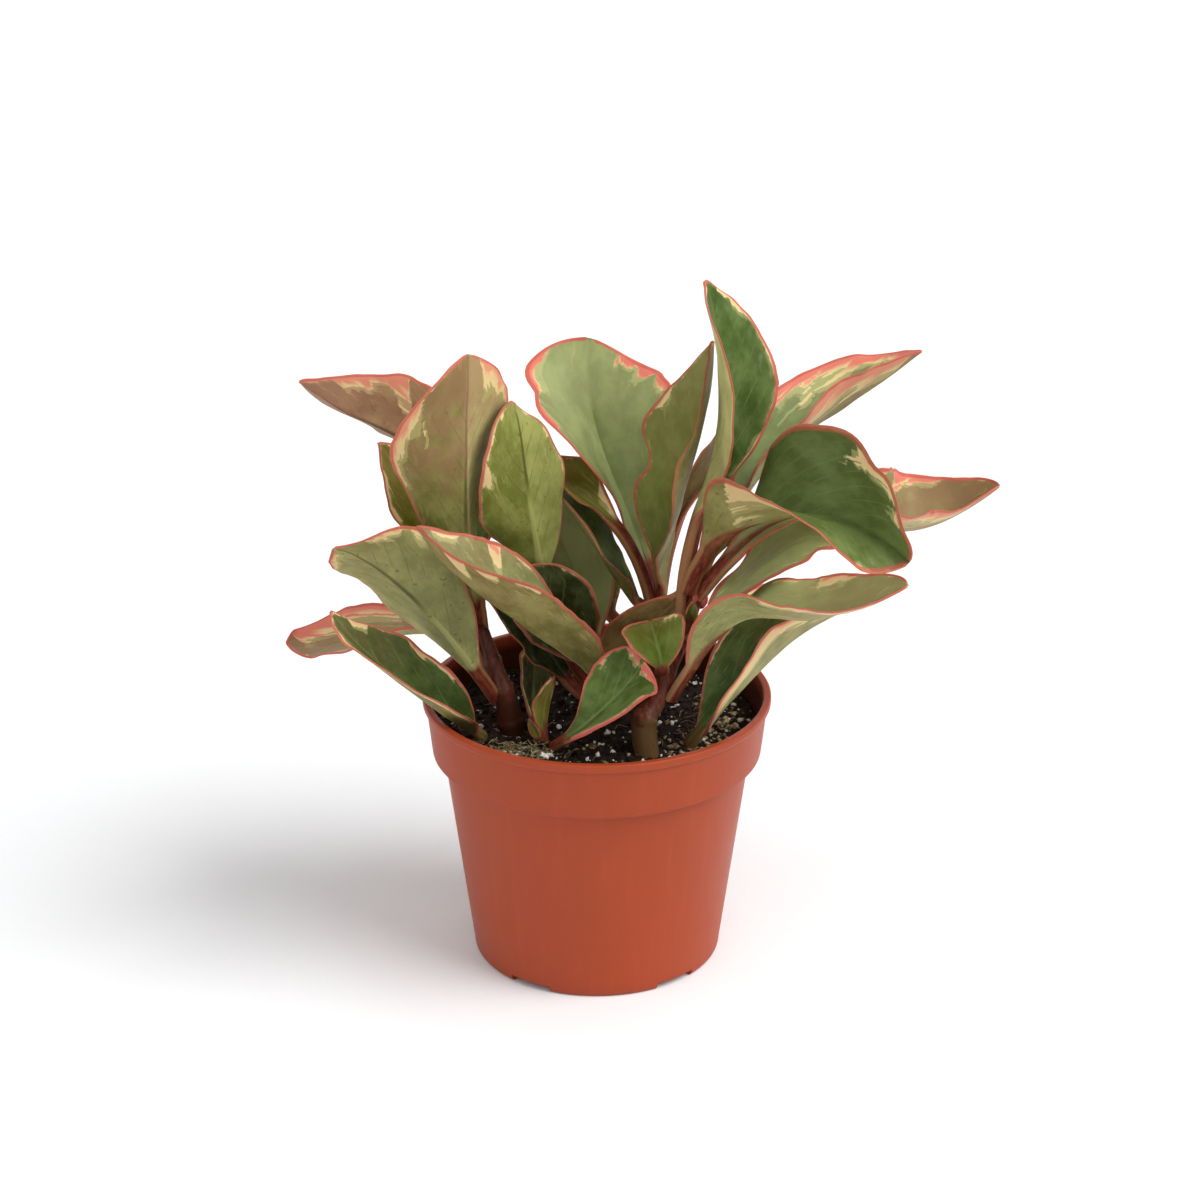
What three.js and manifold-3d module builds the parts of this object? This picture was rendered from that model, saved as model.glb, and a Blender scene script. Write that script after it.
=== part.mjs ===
// A jellie peperomia, a bushy plant with cream and pink edged leaves, in a round nursery pot.
// Millimetres, +Z up, +X to the right and +Y to the back as seen from the plant's front.
// The origin is on the pot's axis, at the level of the surface that it stands on.

import * as THREE from "three";
import { mergeVertices } from "three/addons/utils/BufferGeometryUtils.js";
import Module from "manifold-3d";

const wasm = await Module();
wasm.setup();

// Driving dimensions: the pot
const CLEARANCE = 0.3;
const POT = {
  height: 96,
  rimRadius: 60,
  lipHeight: 2.4,
  bandTopRadius: 58.7,
  bandBottomRadius: 56.8,
  bandHeight: 20.4,
  bodyTopRadius: 52.7,
  stepHeight: 3,
  bodyBottomRadius: 43.2,
  footRadius: 41.4,
  footInnerRadius: 38.6,
  edgeRound: 3,
  wall: 1.5,
  plateUnderside: 3,
  plateThickness: 1.6,
  centreFootRadius: 7,
  segments: 48,
};
const NOTCH = { count: 5, firstAngle: -122.5, arc: 21, height: 2.5 };
const DRAIN = { count: 5, radius: 4, ring: 27 };

// Driving dimensions: the soil
const SOIL = {
  edgeHeight: 84.6,
  crown: 1.6,
  lumpHeight: 0.5,
  rings: 6,
  segments: 36,
  moundX: -33,
  moundY: -36,
  moundHeight: 2.2,
  moundSpread: 9,
};

// Driving dimensions: leaves and stems
const STALK_RADIUS = 2.45;
const STALK_FLATNESS = 0.72;
const BLADE_EDGE = 0.7;
const BLADE_TOP_SKIN = 0.35;
const KEEL_DEPTH = 0.9;
const WAVE_HEIGHT = 0.045;
const WAVES = 2.6;
const ROOT_DEPTH = 9;
const ROOT_BEND_DEPTH = 3.5;
const STEM_SIDES = 10;
const STEM_STEPS = 4;
const NODE_SWELLING = 0.14;
const NODE_SPREAD = 0.035;
const BLADE_STATIONS = [0.03, 0.12, 0.24, 0.36, 0.48, 0.6, 0.72, 0.84, 0.93, 0.98];
const ACROSS = [-1, -0.55, 0, 0.55, 1];

// Colours of the plain solids
const COLOURS = {
  terracotta: 0xb5593c,
  peat: 0x2e2018,
  stem: 0x6a3226,
  leafDark: 0x4c5f30,
  leafMid: 0x66793f,
  leafOlive: 0x7d8454,
};

// A leaf is one cubic curve through root, rise, arch and tip, bare as a stalk up to neck and
// with a blade on the rest. facing is its heading seen from above, and roll turns it about the
// curve from root to tip. foldLeft and foldRight raise its halves at base, middle and tip, curl
// bends each half across, and half gives their widths. widest is where along the blade that is,
// and blunt how round the tip is. A dent in the left or right margin is given by its place along
// the blade, its share of the width and its spread. Lengths are in millimetres and angles in degrees.
const USUAL = {
  foldLeft: [40, 25, 10],
  foldRight: [40, 25, 10],
  curl: [10, 10],
  widest: 0.58,
  blunt: 0.8,
  neck: 0.3,
  thick: 1,
  dents: [[], []],
};

const LEFT_SHOOT = {
  stem: {
    points: [[-27, -11, 74], [-28.5, -11, 84], [-31, -11.5, 98], [-35, -10, 110], [-39, -8.5, 124]],
    radii: [4.2, 4.3, 4.1, 3, 2],
    nodes: [0.36, 0.58, 0.78],
  },
  leaves: {
    upper_left: {
      root: [-38, -9, 114], rise: [-47, 18, 195], arch: [-65, 6, 179], tip: [-99, 6, 207],
      facing: 165, roll: [75, 65], foldLeft: [40, 35, 15], foldRight: [40, 40, 25],
      curl: [5, 10], half: [20, 18.5], widest: 0.5, blunt: 0.75, neck: 0.28,
    },
    tall_left: {
      root: [-32, -12, 102], rise: [-49, 13, 135], arch: [-43, -34, 174], tip: [-42, -20, 225],
      facing: 205, roll: [100, 100], foldLeft: [35, 35, 5], foldRight: [30, 45, -35],
      curl: [10, 5], half: [23.5, 25.5], widest: 0.76, blunt: 0.65, neck: 0.18,
    },
    narrow_left: {
      root: [-39, -8, 119], rise: [-55, 1, 141], arch: [-61, 5, 164], tip: [-73, 6, 185],
      facing: 155, roll: [-20, -20], foldLeft: [40, 20, 15], half: [12, 12], blunt: 0.95,
    },
    broad_left: {
      root: [-34, -12, 98], rise: [-43, -26, 120], arch: [-68, -16, 153], tip: [-86, -35, 163],
      facing: 200, roll: [75, 55], foldLeft: [40, 35, -15], foldRight: [50, 35, -5],
      half: [20, 19], neck: 0.18,
    },
    low_back_left: {
      root: [-35, -7, 96], rise: [-38, -17, 150], arch: [-92, 27, 92], tip: [-107, 12, 109],
      facing: 165, roll: [15, 10], foldLeft: [50, -5, -5], foldRight: [35, 45, 5],
      half: [14, 15.5], neck: 0.34,
    },
    hidden_left: {
      root: [-37, -6, 112], rise: [-49, 13, 114], arch: [-61, 36, 119], tip: [-77, 52, 124],
      facing: 125, roll: [-5, -5], half: [16, 16],
    },
    hidden_rising: {
      root: [-40, -6, 123], rise: [-40, 8, 142], arch: [-47, 30, 155], tip: [-48, 44, 177],
      facing: 100, roll: [-5, -5], half: [16, 16],
    },
  },
};

const MIDDLE_SHOOT = {
  stem: {
    points: [[4, 6, 74], [4, 6, 84], [3.5, 6, 90], [3, 6, 97]],
    radii: [3.4, 3.5, 3.4, 2.3],
    nodes: [0.72],
  },
  leaves: {
    upright_middle: {
      root: [2, 6, 92], rise: [-23, 8, 111], arch: [-22, -26, 193], tip: [-28, -7, 204],
      facing: 200, roll: [65, 110], foldLeft: [30, 15, 15], foldRight: [55, 0, -20],
      half: [16, 17], widest: 0.42, blunt: 0.85, neck: 0.44,
    },
    bowed_middle: {
      root: [5, 4, 90], rise: [-3, -16, 121], arch: [-40, -42, 142], tip: [-59, -30, 169],
      facing: 205, roll: [10, -25], foldLeft: [45, 50, 20], foldRight: [55, 45, 30],
      half: [21.5, 20.5], widest: 0.56, neck: 0.12,
    },
    inner_low: {
      root: [2, 5, 88], rise: [-22, 3, 101], arch: [-13, 5, 123], tip: [-38, -9, 136],
      facing: 200, roll: [-50, -50], foldLeft: [40, 15, 15], half: [15, 15],
      widest: 0.6, neck: 0.22,
    },
    inner_high: {
      root: [6, 5, 94], rise: [-9, 7, 116], arch: [-13, -10, 129], tip: [-23, -9, 146],
      facing: 190, roll: [-80, -85], foldLeft: [30, 15, 5], foldRight: [30, 25, 5],
      half: [14.5, 14.5], widest: 0.66, blunt: 0.65, neck: 0.1,
    },
    grey_middle: {
      root: [3, 8, 91], rise: [-4, 16, 117], arch: [-4, 26, 130], tip: [-22, 25, 160],
      facing: 150, roll: [-45, -45], foldLeft: [30, 15, 5], foldRight: [30, 15, 5],
      half: [15, 15], widest: 0.6, neck: 0.22,
    },
    hidden_middle: {
      root: [2, 8, 95], rise: [-7, 30, 111], arch: [-24, 49, 138], tip: [-27, 54, 162],
      facing: 125, roll: [-10, -10], half: [14, 14],
    },
    hidden_low: {
      root: [2, 9, 92], rise: [-2, 30, 97], arch: [-8, 58, 105], tip: [-10, 78, 105],
      facing: 100, roll: [0, 0], half: [13, 13],
    },
  },
};

const RIGHT_SHOOT = {
  stem: {
    points: [[17.5, -28, 74], [17, -28, 84], [16, -27, 97], [20, -24, 103], [25, -20, 115],
      [30, -16, 126], [34, -12.5, 138]],
    radii: [4, 4.1, 4.3, 3.3, 2.8, 2.6, 2.2],
    nodes: [0.36, 0.62, 0.8],
  },
  leaves: {
    bright_small: {
      root: [22, -22, 113], rise: [22, -35, 123], arch: [19, -20, 127], tip: [18, -18, 130],
      facing: 150, roll: [-55, -45], foldLeft: [40, 25, 25], foldRight: [40, 20, 15],
      half: [11.5, 11.5], widest: 0.66, blunt: 0.6, neck: 0.12,
    },
    arching_inward: {
      root: [34, -10, 141], rise: [20, -12, 130], arch: [14, 8, 116], tip: [4, 2, 99],
      facing: 155, roll: [35, 40], foldLeft: [35, 15, 5], foldRight: [30, 5, 5],
      half: [11.5, 12], neck: 0.12,
    },
    tall_right: {
      root: [29, -14, 128], rise: [28, 4, 163], arch: [50, -19, 184], tip: [36, 3, 243],
      facing: 65, roll: [90, 75], foldLeft: [60, 55, 25], foldRight: [50, 35, 10],
      half: [20.5, 21], widest: 0.74, blunt: 0.9, neck: 0.2, thick: 1.3,
    },
    upper_right: {
      root: [34, -12, 141], rise: [54, -3, 195], arch: [78, 24, 183], tip: [109, 16, 214],
      facing: 20, roll: [15, -30], foldLeft: [60, 50, 30], foldRight: [55, 35, 35],
      half: [18.5, 18.5], widest: 0.56, neck: 0.18,
    },
    far_right: {
      root: [33, -12, 135], rise: [77, -45, 215], arch: [86, 22, 118], tip: [136, 5, 170],
      facing: 19, roll: [27, 3], foldLeft: [49, 70, 20], foldRight: [35, 48, 44],
      curl: [5, 10], half: [21, 21.5], widest: 0.63, blunt: 0.65, neck: 0.06, thick: 1.1,
    },
    broad_dark: {
      root: [31, -14, 139], rise: [36, -23, 171], arch: [74, -42, 190], tip: [101, -52, 165],
      facing: -25, roll: [-70, 45], foldLeft: [20, 65, 85], foldRight: [90, 30, 10],
      curl: [5, 10], half: [29.5, 25.8], widest: 0.56, blunt: 0.6, neck: 0.18, thick: 1.2,
      dents: [[[0.76, 0.1, 0.04], [0.92, 0.26, 0.06]], []],
    },
    flat_right: {
      root: [29, -16, 122], rise: [46, -33, 145], arch: [67, -8, 165], tip: [79, -20, 157],
      facing: -15, roll: [10, 35], foldLeft: [40, -5, 15], foldRight: [50, 0, 15],
      half: [17.5, 10.8], widest: 0.6, neck: 0.08,
    },
    low_right: {
      root: [25, -24, 104], rise: [55, -45, 169], arch: [51, -39, 122], tip: [101, -52, 157],
      facing: -15, roll: [-35, 10], foldLeft: [35, 30, 25], foldRight: [40, 30, 20],
      half: [19, 18.5], blunt: 0.5, neck: 0.08,
    },
    hidden_right: {
      root: [33, -12, 134], rise: [38, 0, 157], arch: [54, 17, 184], tip: [70, 32, 191],
      facing: 50, roll: [5, 5], half: [10, 12], neck: 0.4,
    },
    pink_bract: {
      root: [35, -13, 133], rise: [35, -15, 135], arch: [35, -15, 138], tip: [33.5, -14, 141],
      facing: 90, roll: [0, 0], half: [2.4, 2.4], widest: 0.5, neck: 0.05, thick: 0.45,
    },
    growing_tip: {
      root: [30, -15, 126], rise: [31, -17, 129], arch: [32, -17, 133], tip: [32.5, -16, 136],
      facing: 90, roll: [0, 0], half: [2.2, 2.2], widest: 0.5, neck: 0.05, thick: 0.45,
    },
  },
  stub: { points: [[16, -27, 95], [15, -29.5, 99], [14, -31, 102.5]], radii: [3, 2.6, 1.8] },
};

const BACK_SHOOT = {
  stem: {
    points: [[16, 13.5, 74], [16, 13.5, 84], [17, 14, 100], [20, 15, 120]],
    radii: [3.6, 3.8, 3.4, 3],
    nodes: [0.45, 0.8],
  },
  leaves: {
    broad_back: {
      root: [20, 15, 119], rise: [19, 37, 143], arch: [-9, 26, 181], tip: [-2, 35, 212],
      facing: 135, roll: [-15, -40], foldLeft: [15, 70, -25], foldRight: [15, 20, -10],
      curl: [5, 5], half: [25.5, 27], widest: 0.72, blunt: 0.65, neck: 0.12,
      dents: [[[0.825, 0.09, 0.022], [0.88, -0.03, 0.03]], [[0.95, 0.12, 0.06]]],
    },
    upright_back: {
      root: [22, 14, 119], rise: [23, 21, 155], arch: [35, -13, 180], tip: [39, 11, 219],
      facing: -10, roll: [35, 20], foldLeft: [50, 35, 35], foldRight: [50, 30, 20],
      half: [22.5, 22], blunt: 0.75, neck: 0.06,
      dents: [[[0.46, 0.26, 0.07], [0.14, 0.4, 0.09]], []],
    },
    olive_back: {
      root: [19, 15, 121], rise: [10, 12, 167], arch: [-12, 11, 158], tip: [-16, 14, 178],
      facing: 190, roll: [-40, -35], foldLeft: [45, 40, 15], foldRight: [50, 30, 20],
      curl: [10, 15], half: [13, 12], widest: 0.66, blunt: 0.85, neck: 0.28,
    },
    dark_back: {
      root: [16, 13, 122], rise: [6, 22, 127], arch: [-7, 0, 164], tip: [-21, 23, 169],
      facing: 190, roll: [-15, -20], foldLeft: [50, 25, 30], foldRight: [10, 15, 10],
      half: [16, 16], widest: 0.56, blunt: 0.75, neck: 0.06,
    },
    slim_back: {
      root: [22, 16, 119], rise: [25, 12, 168], arch: [39, 40, 153], tip: [54, 33, 199],
      facing: 25, roll: [-15, -20], foldLeft: [50, 5, 0], foldRight: [60, -5, 20],
      half: [12.5, 11.5], widest: 0.66, blunt: 0.85, neck: 0.14,
    },
    low_back: {
      root: [15, 14, 109], rise: [3, 27, 113], arch: [1, 36, 115], tip: [-13, 31, 132],
      facing: 145, roll: [-15, -15], half: [14, 14], neck: 0.36,
    },
    hidden_back: {
      root: [20, 17, 118], rise: [22, 30, 128], arch: [14, 58, 155], tip: [11, 64, 178],
      facing: 100, roll: [-5, -5], half: [13, 15], neck: 0.36,
    },
    hidden_outer: {
      root: [21, 16, 112], rise: [40, 34, 111], arch: [72, 54, 102], tip: [91, 60, 102],
      facing: 35, roll: [0, 0], half: [15, 15],
    },
  },
};

// Leaves that rise from the soil by themselves
const ROOTED = {
  front_leaf: {
    broad: {
      root: [-15, -24, 86], rise: [-6, -50, 103], arch: [14, -24, 110], tip: [15, -31, 121],
      facing: -20, roll: [40, 50], foldLeft: [10, 10, 0], foldRight: [40, 20, -25],
      half: [15, 14.5], widest: 0.7, blunt: 0.55, neck: 0.1, thick: 0.8,
    },
  },
  low_right_leaf: {
    broad: {
      root: [32, -22, 87], rise: [45, -31, 109], arch: [64, -16, 126], tip: [84, -24, 137],
      facing: 0, roll: [40, 0], foldLeft: [55, 45, 30], foldRight: [55, 55, 45],
      half: [18.5, 18], widest: 0.6, blunt: 0.75, neck: 0.06,
    },
  },
  low_left_leaf: {
    broad: {
      root: [-39, -15, 86], rise: [-52, -27, 101], arch: [-76, -38, 122], tip: [-88, -33, 140],
      facing: 200, roll: [-26, -38], foldLeft: [75, 43, -3], foldRight: [58, 19, -9],
      half: [14.3, 15], widest: 0.47, blunt: 0.9, neck: 0.06,
    },
  },
  inner_leaf: {
    narrow: {
      root: [-20.6, -10, 87], rise: [-22, -10, 95], arch: [-23, 4, 101], tip: [-20, 9, 110],
      facing: 60, roll: [50, 50], foldLeft: [30, 25, 5], foldRight: [30, 15, 5],
      half: [8, 8], widest: 0.6, neck: 0.1, thick: 0.8,
    },
  },
  sprout: {
    first: {
      root: [-18, -19, 86], rise: [-19, -19, 94], arch: [-18, -19, 100], tip: [-15, -21, 110],
      facing: 0, roll: [135, 130], foldLeft: [20, -5, 15], foldRight: [20, 0, 0],
      half: [5, 2.5], widest: 0.56, neck: 0.16, thick: 0.7,
    },
    second: {
      root: [-19, -19.5, 86], rise: [-20.5, -20, 88], arch: [-21, -20, 91], tip: [-23, -21, 95],
      facing: 90, roll: [0, 0], half: [1.6, 1.6], neck: 0.1, thick: 0.5,
    },
  },
};

const { clamp, degToRad, lerp } = THREE.MathUtils;
const vector = ([x, y, z]) => new THREE.Vector3(x, y, z);

// A closed mesh as a solid that can be joined and cut
function toSolid(geometry) {
  const bare = geometry.clone();
  bare.deleteAttribute("normal");
  bare.deleteAttribute("uv");
  const merged = mergeVertices(bare, 1e-4);
  const mesh = new wasm.Mesh({
    numProp: 3,
    vertProperties: new Float32Array(merged.attributes.position.array),
    triVerts: new Uint32Array(merged.index.array),
  });
  return new wasm.Manifold(mesh);
}

// A joined or cut solid as a mesh again
function toGeometry(solid) {
  const mesh = solid.getMesh();
  const geometry = new THREE.BufferGeometry();
  geometry.setAttribute("position", new THREE.BufferAttribute(mesh.vertProperties, 3));
  geometry.setIndex(new THREE.BufferAttribute(mesh.triVerts, 1));
  geometry.computeVertexNormals();
  return geometry;
}

// A closed skin over rings of points, all with the same count, ending in the points first and last.
// Ring indices past the turn take the other diagonal, so that both faces of a blade split alike.
function skin(rings, first, last, turn = Infinity) {
  const count = rings[0].length;
  const points = [...rings.flat(), first, last];
  const faces = [];
  for (let row = 0; row < rings.length - 1; row += 1) {
    for (let column = 0; column < count; column += 1) {
      const a = row * count + column;
      const b = row * count + (column + 1) % count;
      const c = a + count;
      const d = b + count;
      if (column < turn) {
        faces.push(a, b, d, a, d, c);
      } else {
        faces.push(a, b, c, b, d, c);
      }
    }
  }
  const start = points.length - 2;
  const end = points.length - 1;
  const top = (rings.length - 1) * count;
  for (let column = 0; column < count; column += 1) {
    const next = (column + 1) % count;
    faces.push(start, next, column);
    faces.push(end, top + column, top + next);
  }
  const geometry = new THREE.BufferGeometry().setFromPoints(points);
  geometry.setIndex(faces);
  return geometry;
}

// A value given at base, middle and tip, joined smoothly between them
function blend([base, middle, tip], s) {
  const place = clamp(s, 0, 1);
  if (place < 0.5) {
    return base + (middle - base) * Math.sin(Math.PI * place);
  }
  return middle + (tip - middle) * (1 - Math.cos(Math.PI * (place - 0.5)));
}

// The blade's half width at s, as a share of its widest
function outline(leaf, s) {
  const place = clamp(s, 0, 1);
  const swell = leaf.blunt * leaf.widest / (1 - leaf.widest);
  const peak = leaf.widest ** swell * (1 - leaf.widest) ** leaf.blunt;
  return place ** swell * (1 - place) ** leaf.blunt / peak;
}

// What the dents leave of a margin's width at s, as a share
function dented(dents, s) {
  return dents.reduce((rest, [place, depth, spread]) => (
    rest - depth * Math.exp(-(((s - place) / spread) ** 2))
  ), 1);
}

// The leaf's own directions at a point of its curve: towards its left margin, and out of its top
function directions(leaf, along, t) {
  const facing = degToRad(leaf.facing);
  const left = new THREE.Vector3(-Math.sin(facing), Math.cos(facing), 0);
  left.addScaledVector(along, -left.dot(along)).normalize();
  const up = along.clone().cross(left);
  const roll = degToRad(lerp(leaf.roll[0], leaf.roll[1], t));
  return {
    left: left.clone().multiplyScalar(Math.cos(roll)).addScaledVector(up, Math.sin(roll)),
    up: up.clone().multiplyScalar(Math.cos(roll)).addScaledVector(left, -Math.sin(roll)),
  };
}

// One place of a leaf's section: its offsets to the left and up, and the slope of the blade there.
// across runs from -1 at the left margin over 0 at the midrib to 1 at the right margin.
function sectionPlace(leaf, s, stalk, across) {
  const side = across < 0 ? 0 : 1;
  const sign = across < 0 ? 1 : -1;
  const reach = Math.abs(across);
  const blade = leaf.half[side] * dented(leaf.dents[side], s) * outline(leaf, s);
  const width = Math.hypot(stalk, blade);
  const share = (blade / width) ** 2;
  const fold = degToRad(blend(side === 0 ? leaf.foldLeft : leaf.foldRight, s)) * share;
  const curl = degToRad(leaf.curl[side]) * share + 1e-6;
  const slope = fold + curl * (2 * reach - 1);
  const out = (Math.sin(slope) - Math.sin(fold - curl)) / (2 * curl);
  const rise = (Math.cos(fold - curl) - Math.cos(slope)) / (2 * curl);
  const phase = degToRad(37 * leaf.tip[0] + 91 * leaf.tip[2]) + 2 * side;
  const wave = WAVE_HEIGHT * blade * reach ** 2 * Math.sin(2 * Math.PI * WAVES * s + phase);
  return {
    left: sign * (width * out - wave * Math.sin(slope)),
    up: width * rise + wave * Math.cos(slope),
    slope: sign * slope,
    share,
  };
}

// One ring round a leaf: its top face from left to right, then its underside back again
function leafRing(leaf, centre, along, t, grow) {
  const s = (t - leaf.neck) / (1 - leaf.neck);
  const stalk = STALK_RADIUS * leaf.thick * Math.sqrt(1 - Math.max(s, 0)) + grow;
  const { left, up } = directions(leaf, along, t);
  const top = [];
  const underside = [];
  for (const across of ACROSS) {
    const place = sectionPlace(leaf, s, stalk, across);
    const slope = across === 0
      ? (sectionPlace(leaf, s, stalk, -1e-4).slope + place.slope) / 2
      : place.slope;
    const normal = up.clone().multiplyScalar(Math.cos(slope)).addScaledVector(left, -Math.sin(slope));
    const stalkHeight = 2 * STALK_RADIUS * STALK_FLATNESS * leaf.thick - BLADE_EDGE;
    const round = Math.sqrt(1 - across * across) * stalkHeight * (1 - place.share);
    const keel = (1 - Math.abs(across)) ** 1.5 * KEEL_DEPTH * (1 - Math.max(s, 0)) * place.share;
    const depth = BLADE_EDGE + round + keel;
    const above = lerp(depth / 2, BLADE_TOP_SKIN, place.share) + grow;
    const point = centre.clone().addScaledVector(left, place.left).addScaledVector(up, place.up);
    top.push(point.clone().addScaledVector(normal, above));
    underside.push(point.clone().addScaledVector(normal, above - depth - 2 * grow));
  }
  return [...top, ...underside.reverse()];
}

// A whole leaf. One that rises from the soil goes down into it first, and grow thickens it all round.
function leafSolid(measures, { rooted = false, grow = 0 } = {}) {
  const leaf = { ...USUAL, ...measures };
  const curve = new THREE.CubicBezierCurve3(
    vector(leaf.root), vector(leaf.rise), vector(leaf.arch), vector(leaf.tip),
  );
  const rings = [];
  const vertical = new THREE.Vector3(0, 0, 1);
  const root = vector(leaf.root);
  let first = root;
  if (rooted) {
    for (const depth of [ROOT_DEPTH + grow, ROOT_BEND_DEPTH]) {
      rings.push(leafRing(leaf, root.clone().addScaledVector(vertical, -depth), vertical, 0, grow));
    }
    first = root.clone().addScaledVector(vertical, -ROOT_DEPTH - grow);
  }
  const stalkPlaces = leaf.neck > 0.2 ? [0, 0.5, 0.95] : [0];
  const places = [
    ...stalkPlaces.map((share) => share * leaf.neck),
    ...BLADE_STATIONS.map((s) => leaf.neck + s * (1 - leaf.neck)),
  ];
  for (const t of places) {
    rings.push(leafRing(leaf, curve.getPoint(t), curve.getTangent(t), t, grow));
  }
  return toSolid(skin(rings, first, curve.getPoint(1), ACROSS.length - 1));
}

// A round stalk through points, with a radius at each and a slight swelling at its nodes
function stalkSolid({ points, radii, nodes = [] }, grow = 0) {
  const curve = new THREE.CatmullRomCurve3(points.map(vector));
  const steps = STEM_STEPS * (points.length - 1);
  const rings = [];
  for (let step = 0; step <= steps; step += 1) {
    const t = step / steps;
    const centre = curve.getPoint(t);
    const along = curve.getTangent(t);
    const across = new THREE.Vector3(0, -1, 0);
    across.addScaledVector(along, -across.dot(along)).normalize();
    const up = along.clone().cross(across);
    const reach = t * (radii.length - 1);
    const below = Math.min(Math.floor(reach), radii.length - 2);
    const swelling = nodes.reduce((sum, node) => sum + Math.exp(-(((t - node) / NODE_SPREAD) ** 2)), 0);
    const plain = lerp(radii[below], radii[below + 1], reach - below);
    const radius = plain * (1 + NODE_SWELLING * swelling) + grow;
    const ring = [];
    for (let side = 0; side < STEM_SIDES; side += 1) {
      const angle = 2 * Math.PI * side / STEM_SIDES;
      ring.push(centre.clone()
        .addScaledVector(across, radius * Math.cos(angle))
        .addScaledVector(up, radius * Math.sin(angle)));
    }
    rings.push(ring);
  }
  return toSolid(skin(rings, curve.getPoint(0), curve.getPoint(1)));
}

// A stem with its leaves, grown together
function shootSolid({ stem, stub, leaves }) {
  let solid = stalkSolid(stem);
  if (stub) {
    solid = solid.add(stalkSolid(stub));
  }
  for (const leaf of Object.values(leaves)) {
    solid = solid.add(leafSolid(leaf));
  }
  return solid;
}

// The inside of the pot's wall at a height
const BAND_BASE = POT.height - POT.bandHeight;
const STEP_BASE = BAND_BASE - POT.stepHeight;
const LIP_BASE = POT.height - POT.lipHeight - 1.2;
const FLOOR = POT.plateUnderside + POT.plateThickness;
function insideRadius(height) {
  if (height >= BAND_BASE) {
    const share = (height - BAND_BASE) / (LIP_BASE - BAND_BASE);
    return lerp(POT.bandBottomRadius, POT.bandTopRadius, share) - POT.wall;
  }
  const share = (height - POT.edgeRound) / (STEP_BASE - POT.edgeRound);
  return lerp(POT.bodyBottomRadius, POT.bodyTopRadius, share) - POT.wall;
}

// The pot: a tapered wall with a stepped band and a lip, on a foot ring with notches
function potSolid() {
  const rim = POT.rimRadius;
  const profile = [
    [0, 0],
    [POT.centreFootRadius, 0],
    [POT.centreFootRadius + 0.6, POT.plateUnderside],
    [POT.footInnerRadius - 0.4, POT.plateUnderside],
    [POT.footInnerRadius, 0],
    [POT.footRadius, 0],
    [lerp(POT.footRadius, POT.bodyBottomRadius, 0.65), 0.3 * POT.edgeRound],
    [POT.bodyBottomRadius, POT.edgeRound],
    [POT.bodyTopRadius, STEP_BASE],
    [POT.bodyTopRadius + 0.7, STEP_BASE + 1.5],
    [POT.bandBottomRadius - 1.4, BAND_BASE - 0.6],
    [POT.bandBottomRadius, BAND_BASE],
    [POT.bandTopRadius, LIP_BASE],
    [rim - 0.3, LIP_BASE + 0.8],
    [rim, POT.height - POT.lipHeight],
    [rim, POT.height - 0.6],
    [rim - 0.6, POT.height],
    [rim - 2, POT.height],
    [rim - 2.6, POT.height - 0.8],
    [insideRadius(LIP_BASE), LIP_BASE],
    [insideRadius(BAND_BASE), BAND_BASE],
    [POT.bodyTopRadius - POT.wall, STEP_BASE],
    [insideRadius(FLOOR + 2), FLOOR + 2],
    [insideRadius(FLOOR) - 1.6, FLOOR],
    [0, FLOOR],
  ];
  const shell = new THREE.LatheGeometry(
    profile.map(([radius, height]) => new THREE.Vector2(radius, height)), POT.segments,
  );
  shell.rotateX(Math.PI / 2);
  let solid = toSolid(shell);
  for (let index = 0; index < NOTCH.count; index += 1) {
    const middle = degToRad(NOTCH.firstAngle + index * 360 / NOTCH.count);
    const start = middle - degToRad(NOTCH.arc / 2);
    const end = middle + degToRad(NOTCH.arc / 2);
    const sector = new THREE.Shape();
    sector.absarc(0, 0, POT.bodyBottomRadius + 2, start, end, false);
    sector.absarc(0, 0, POT.footInnerRadius - 2, end, start, true);
    const options = { depth: NOTCH.height + 1, bevelEnabled: false, curveSegments: 5 };
    const notch = new THREE.ExtrudeGeometry(sector, options);
    notch.translate(0, 0, -1);
    solid = solid.subtract(toSolid(notch));
  }
  for (let index = 0; index < DRAIN.count; index += 1) {
    const angle = degToRad(NOTCH.firstAngle + index * 360 / DRAIN.count);
    const hole = new THREE.CylinderGeometry(DRAIN.radius, DRAIN.radius, 4 * POT.plateThickness, 16);
    hole.rotateX(Math.PI / 2);
    hole.translate(DRAIN.ring * Math.cos(angle), DRAIN.ring * Math.sin(angle), FLOOR);
    solid = solid.subtract(toSolid(hole));
  }
  return solid;
}

// The height of the soil's surface: crowned, lumpy, and heaped beside the front of the left stem
function soilHeight(x, y) {
  const reach = Math.hypot(x, y) / insideRadius(SOIL.edgeHeight);
  const crown = SOIL.crown * (1 - reach * reach);
  const lumps = Math.sin(0.61 * x + 0.23 * y) * Math.sin(0.47 * y - 0.19 * x + 1.3)
    + 0.6 * Math.sin(1.13 * x - 0.71 * y + 0.4);
  const away = Math.hypot(x - SOIL.moundX, y - SOIL.moundY) / SOIL.moundSpread;
  return SOIL.edgeHeight + crown + SOIL.lumpHeight * lumps + SOIL.moundHeight * Math.exp(-away * away);
}

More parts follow.
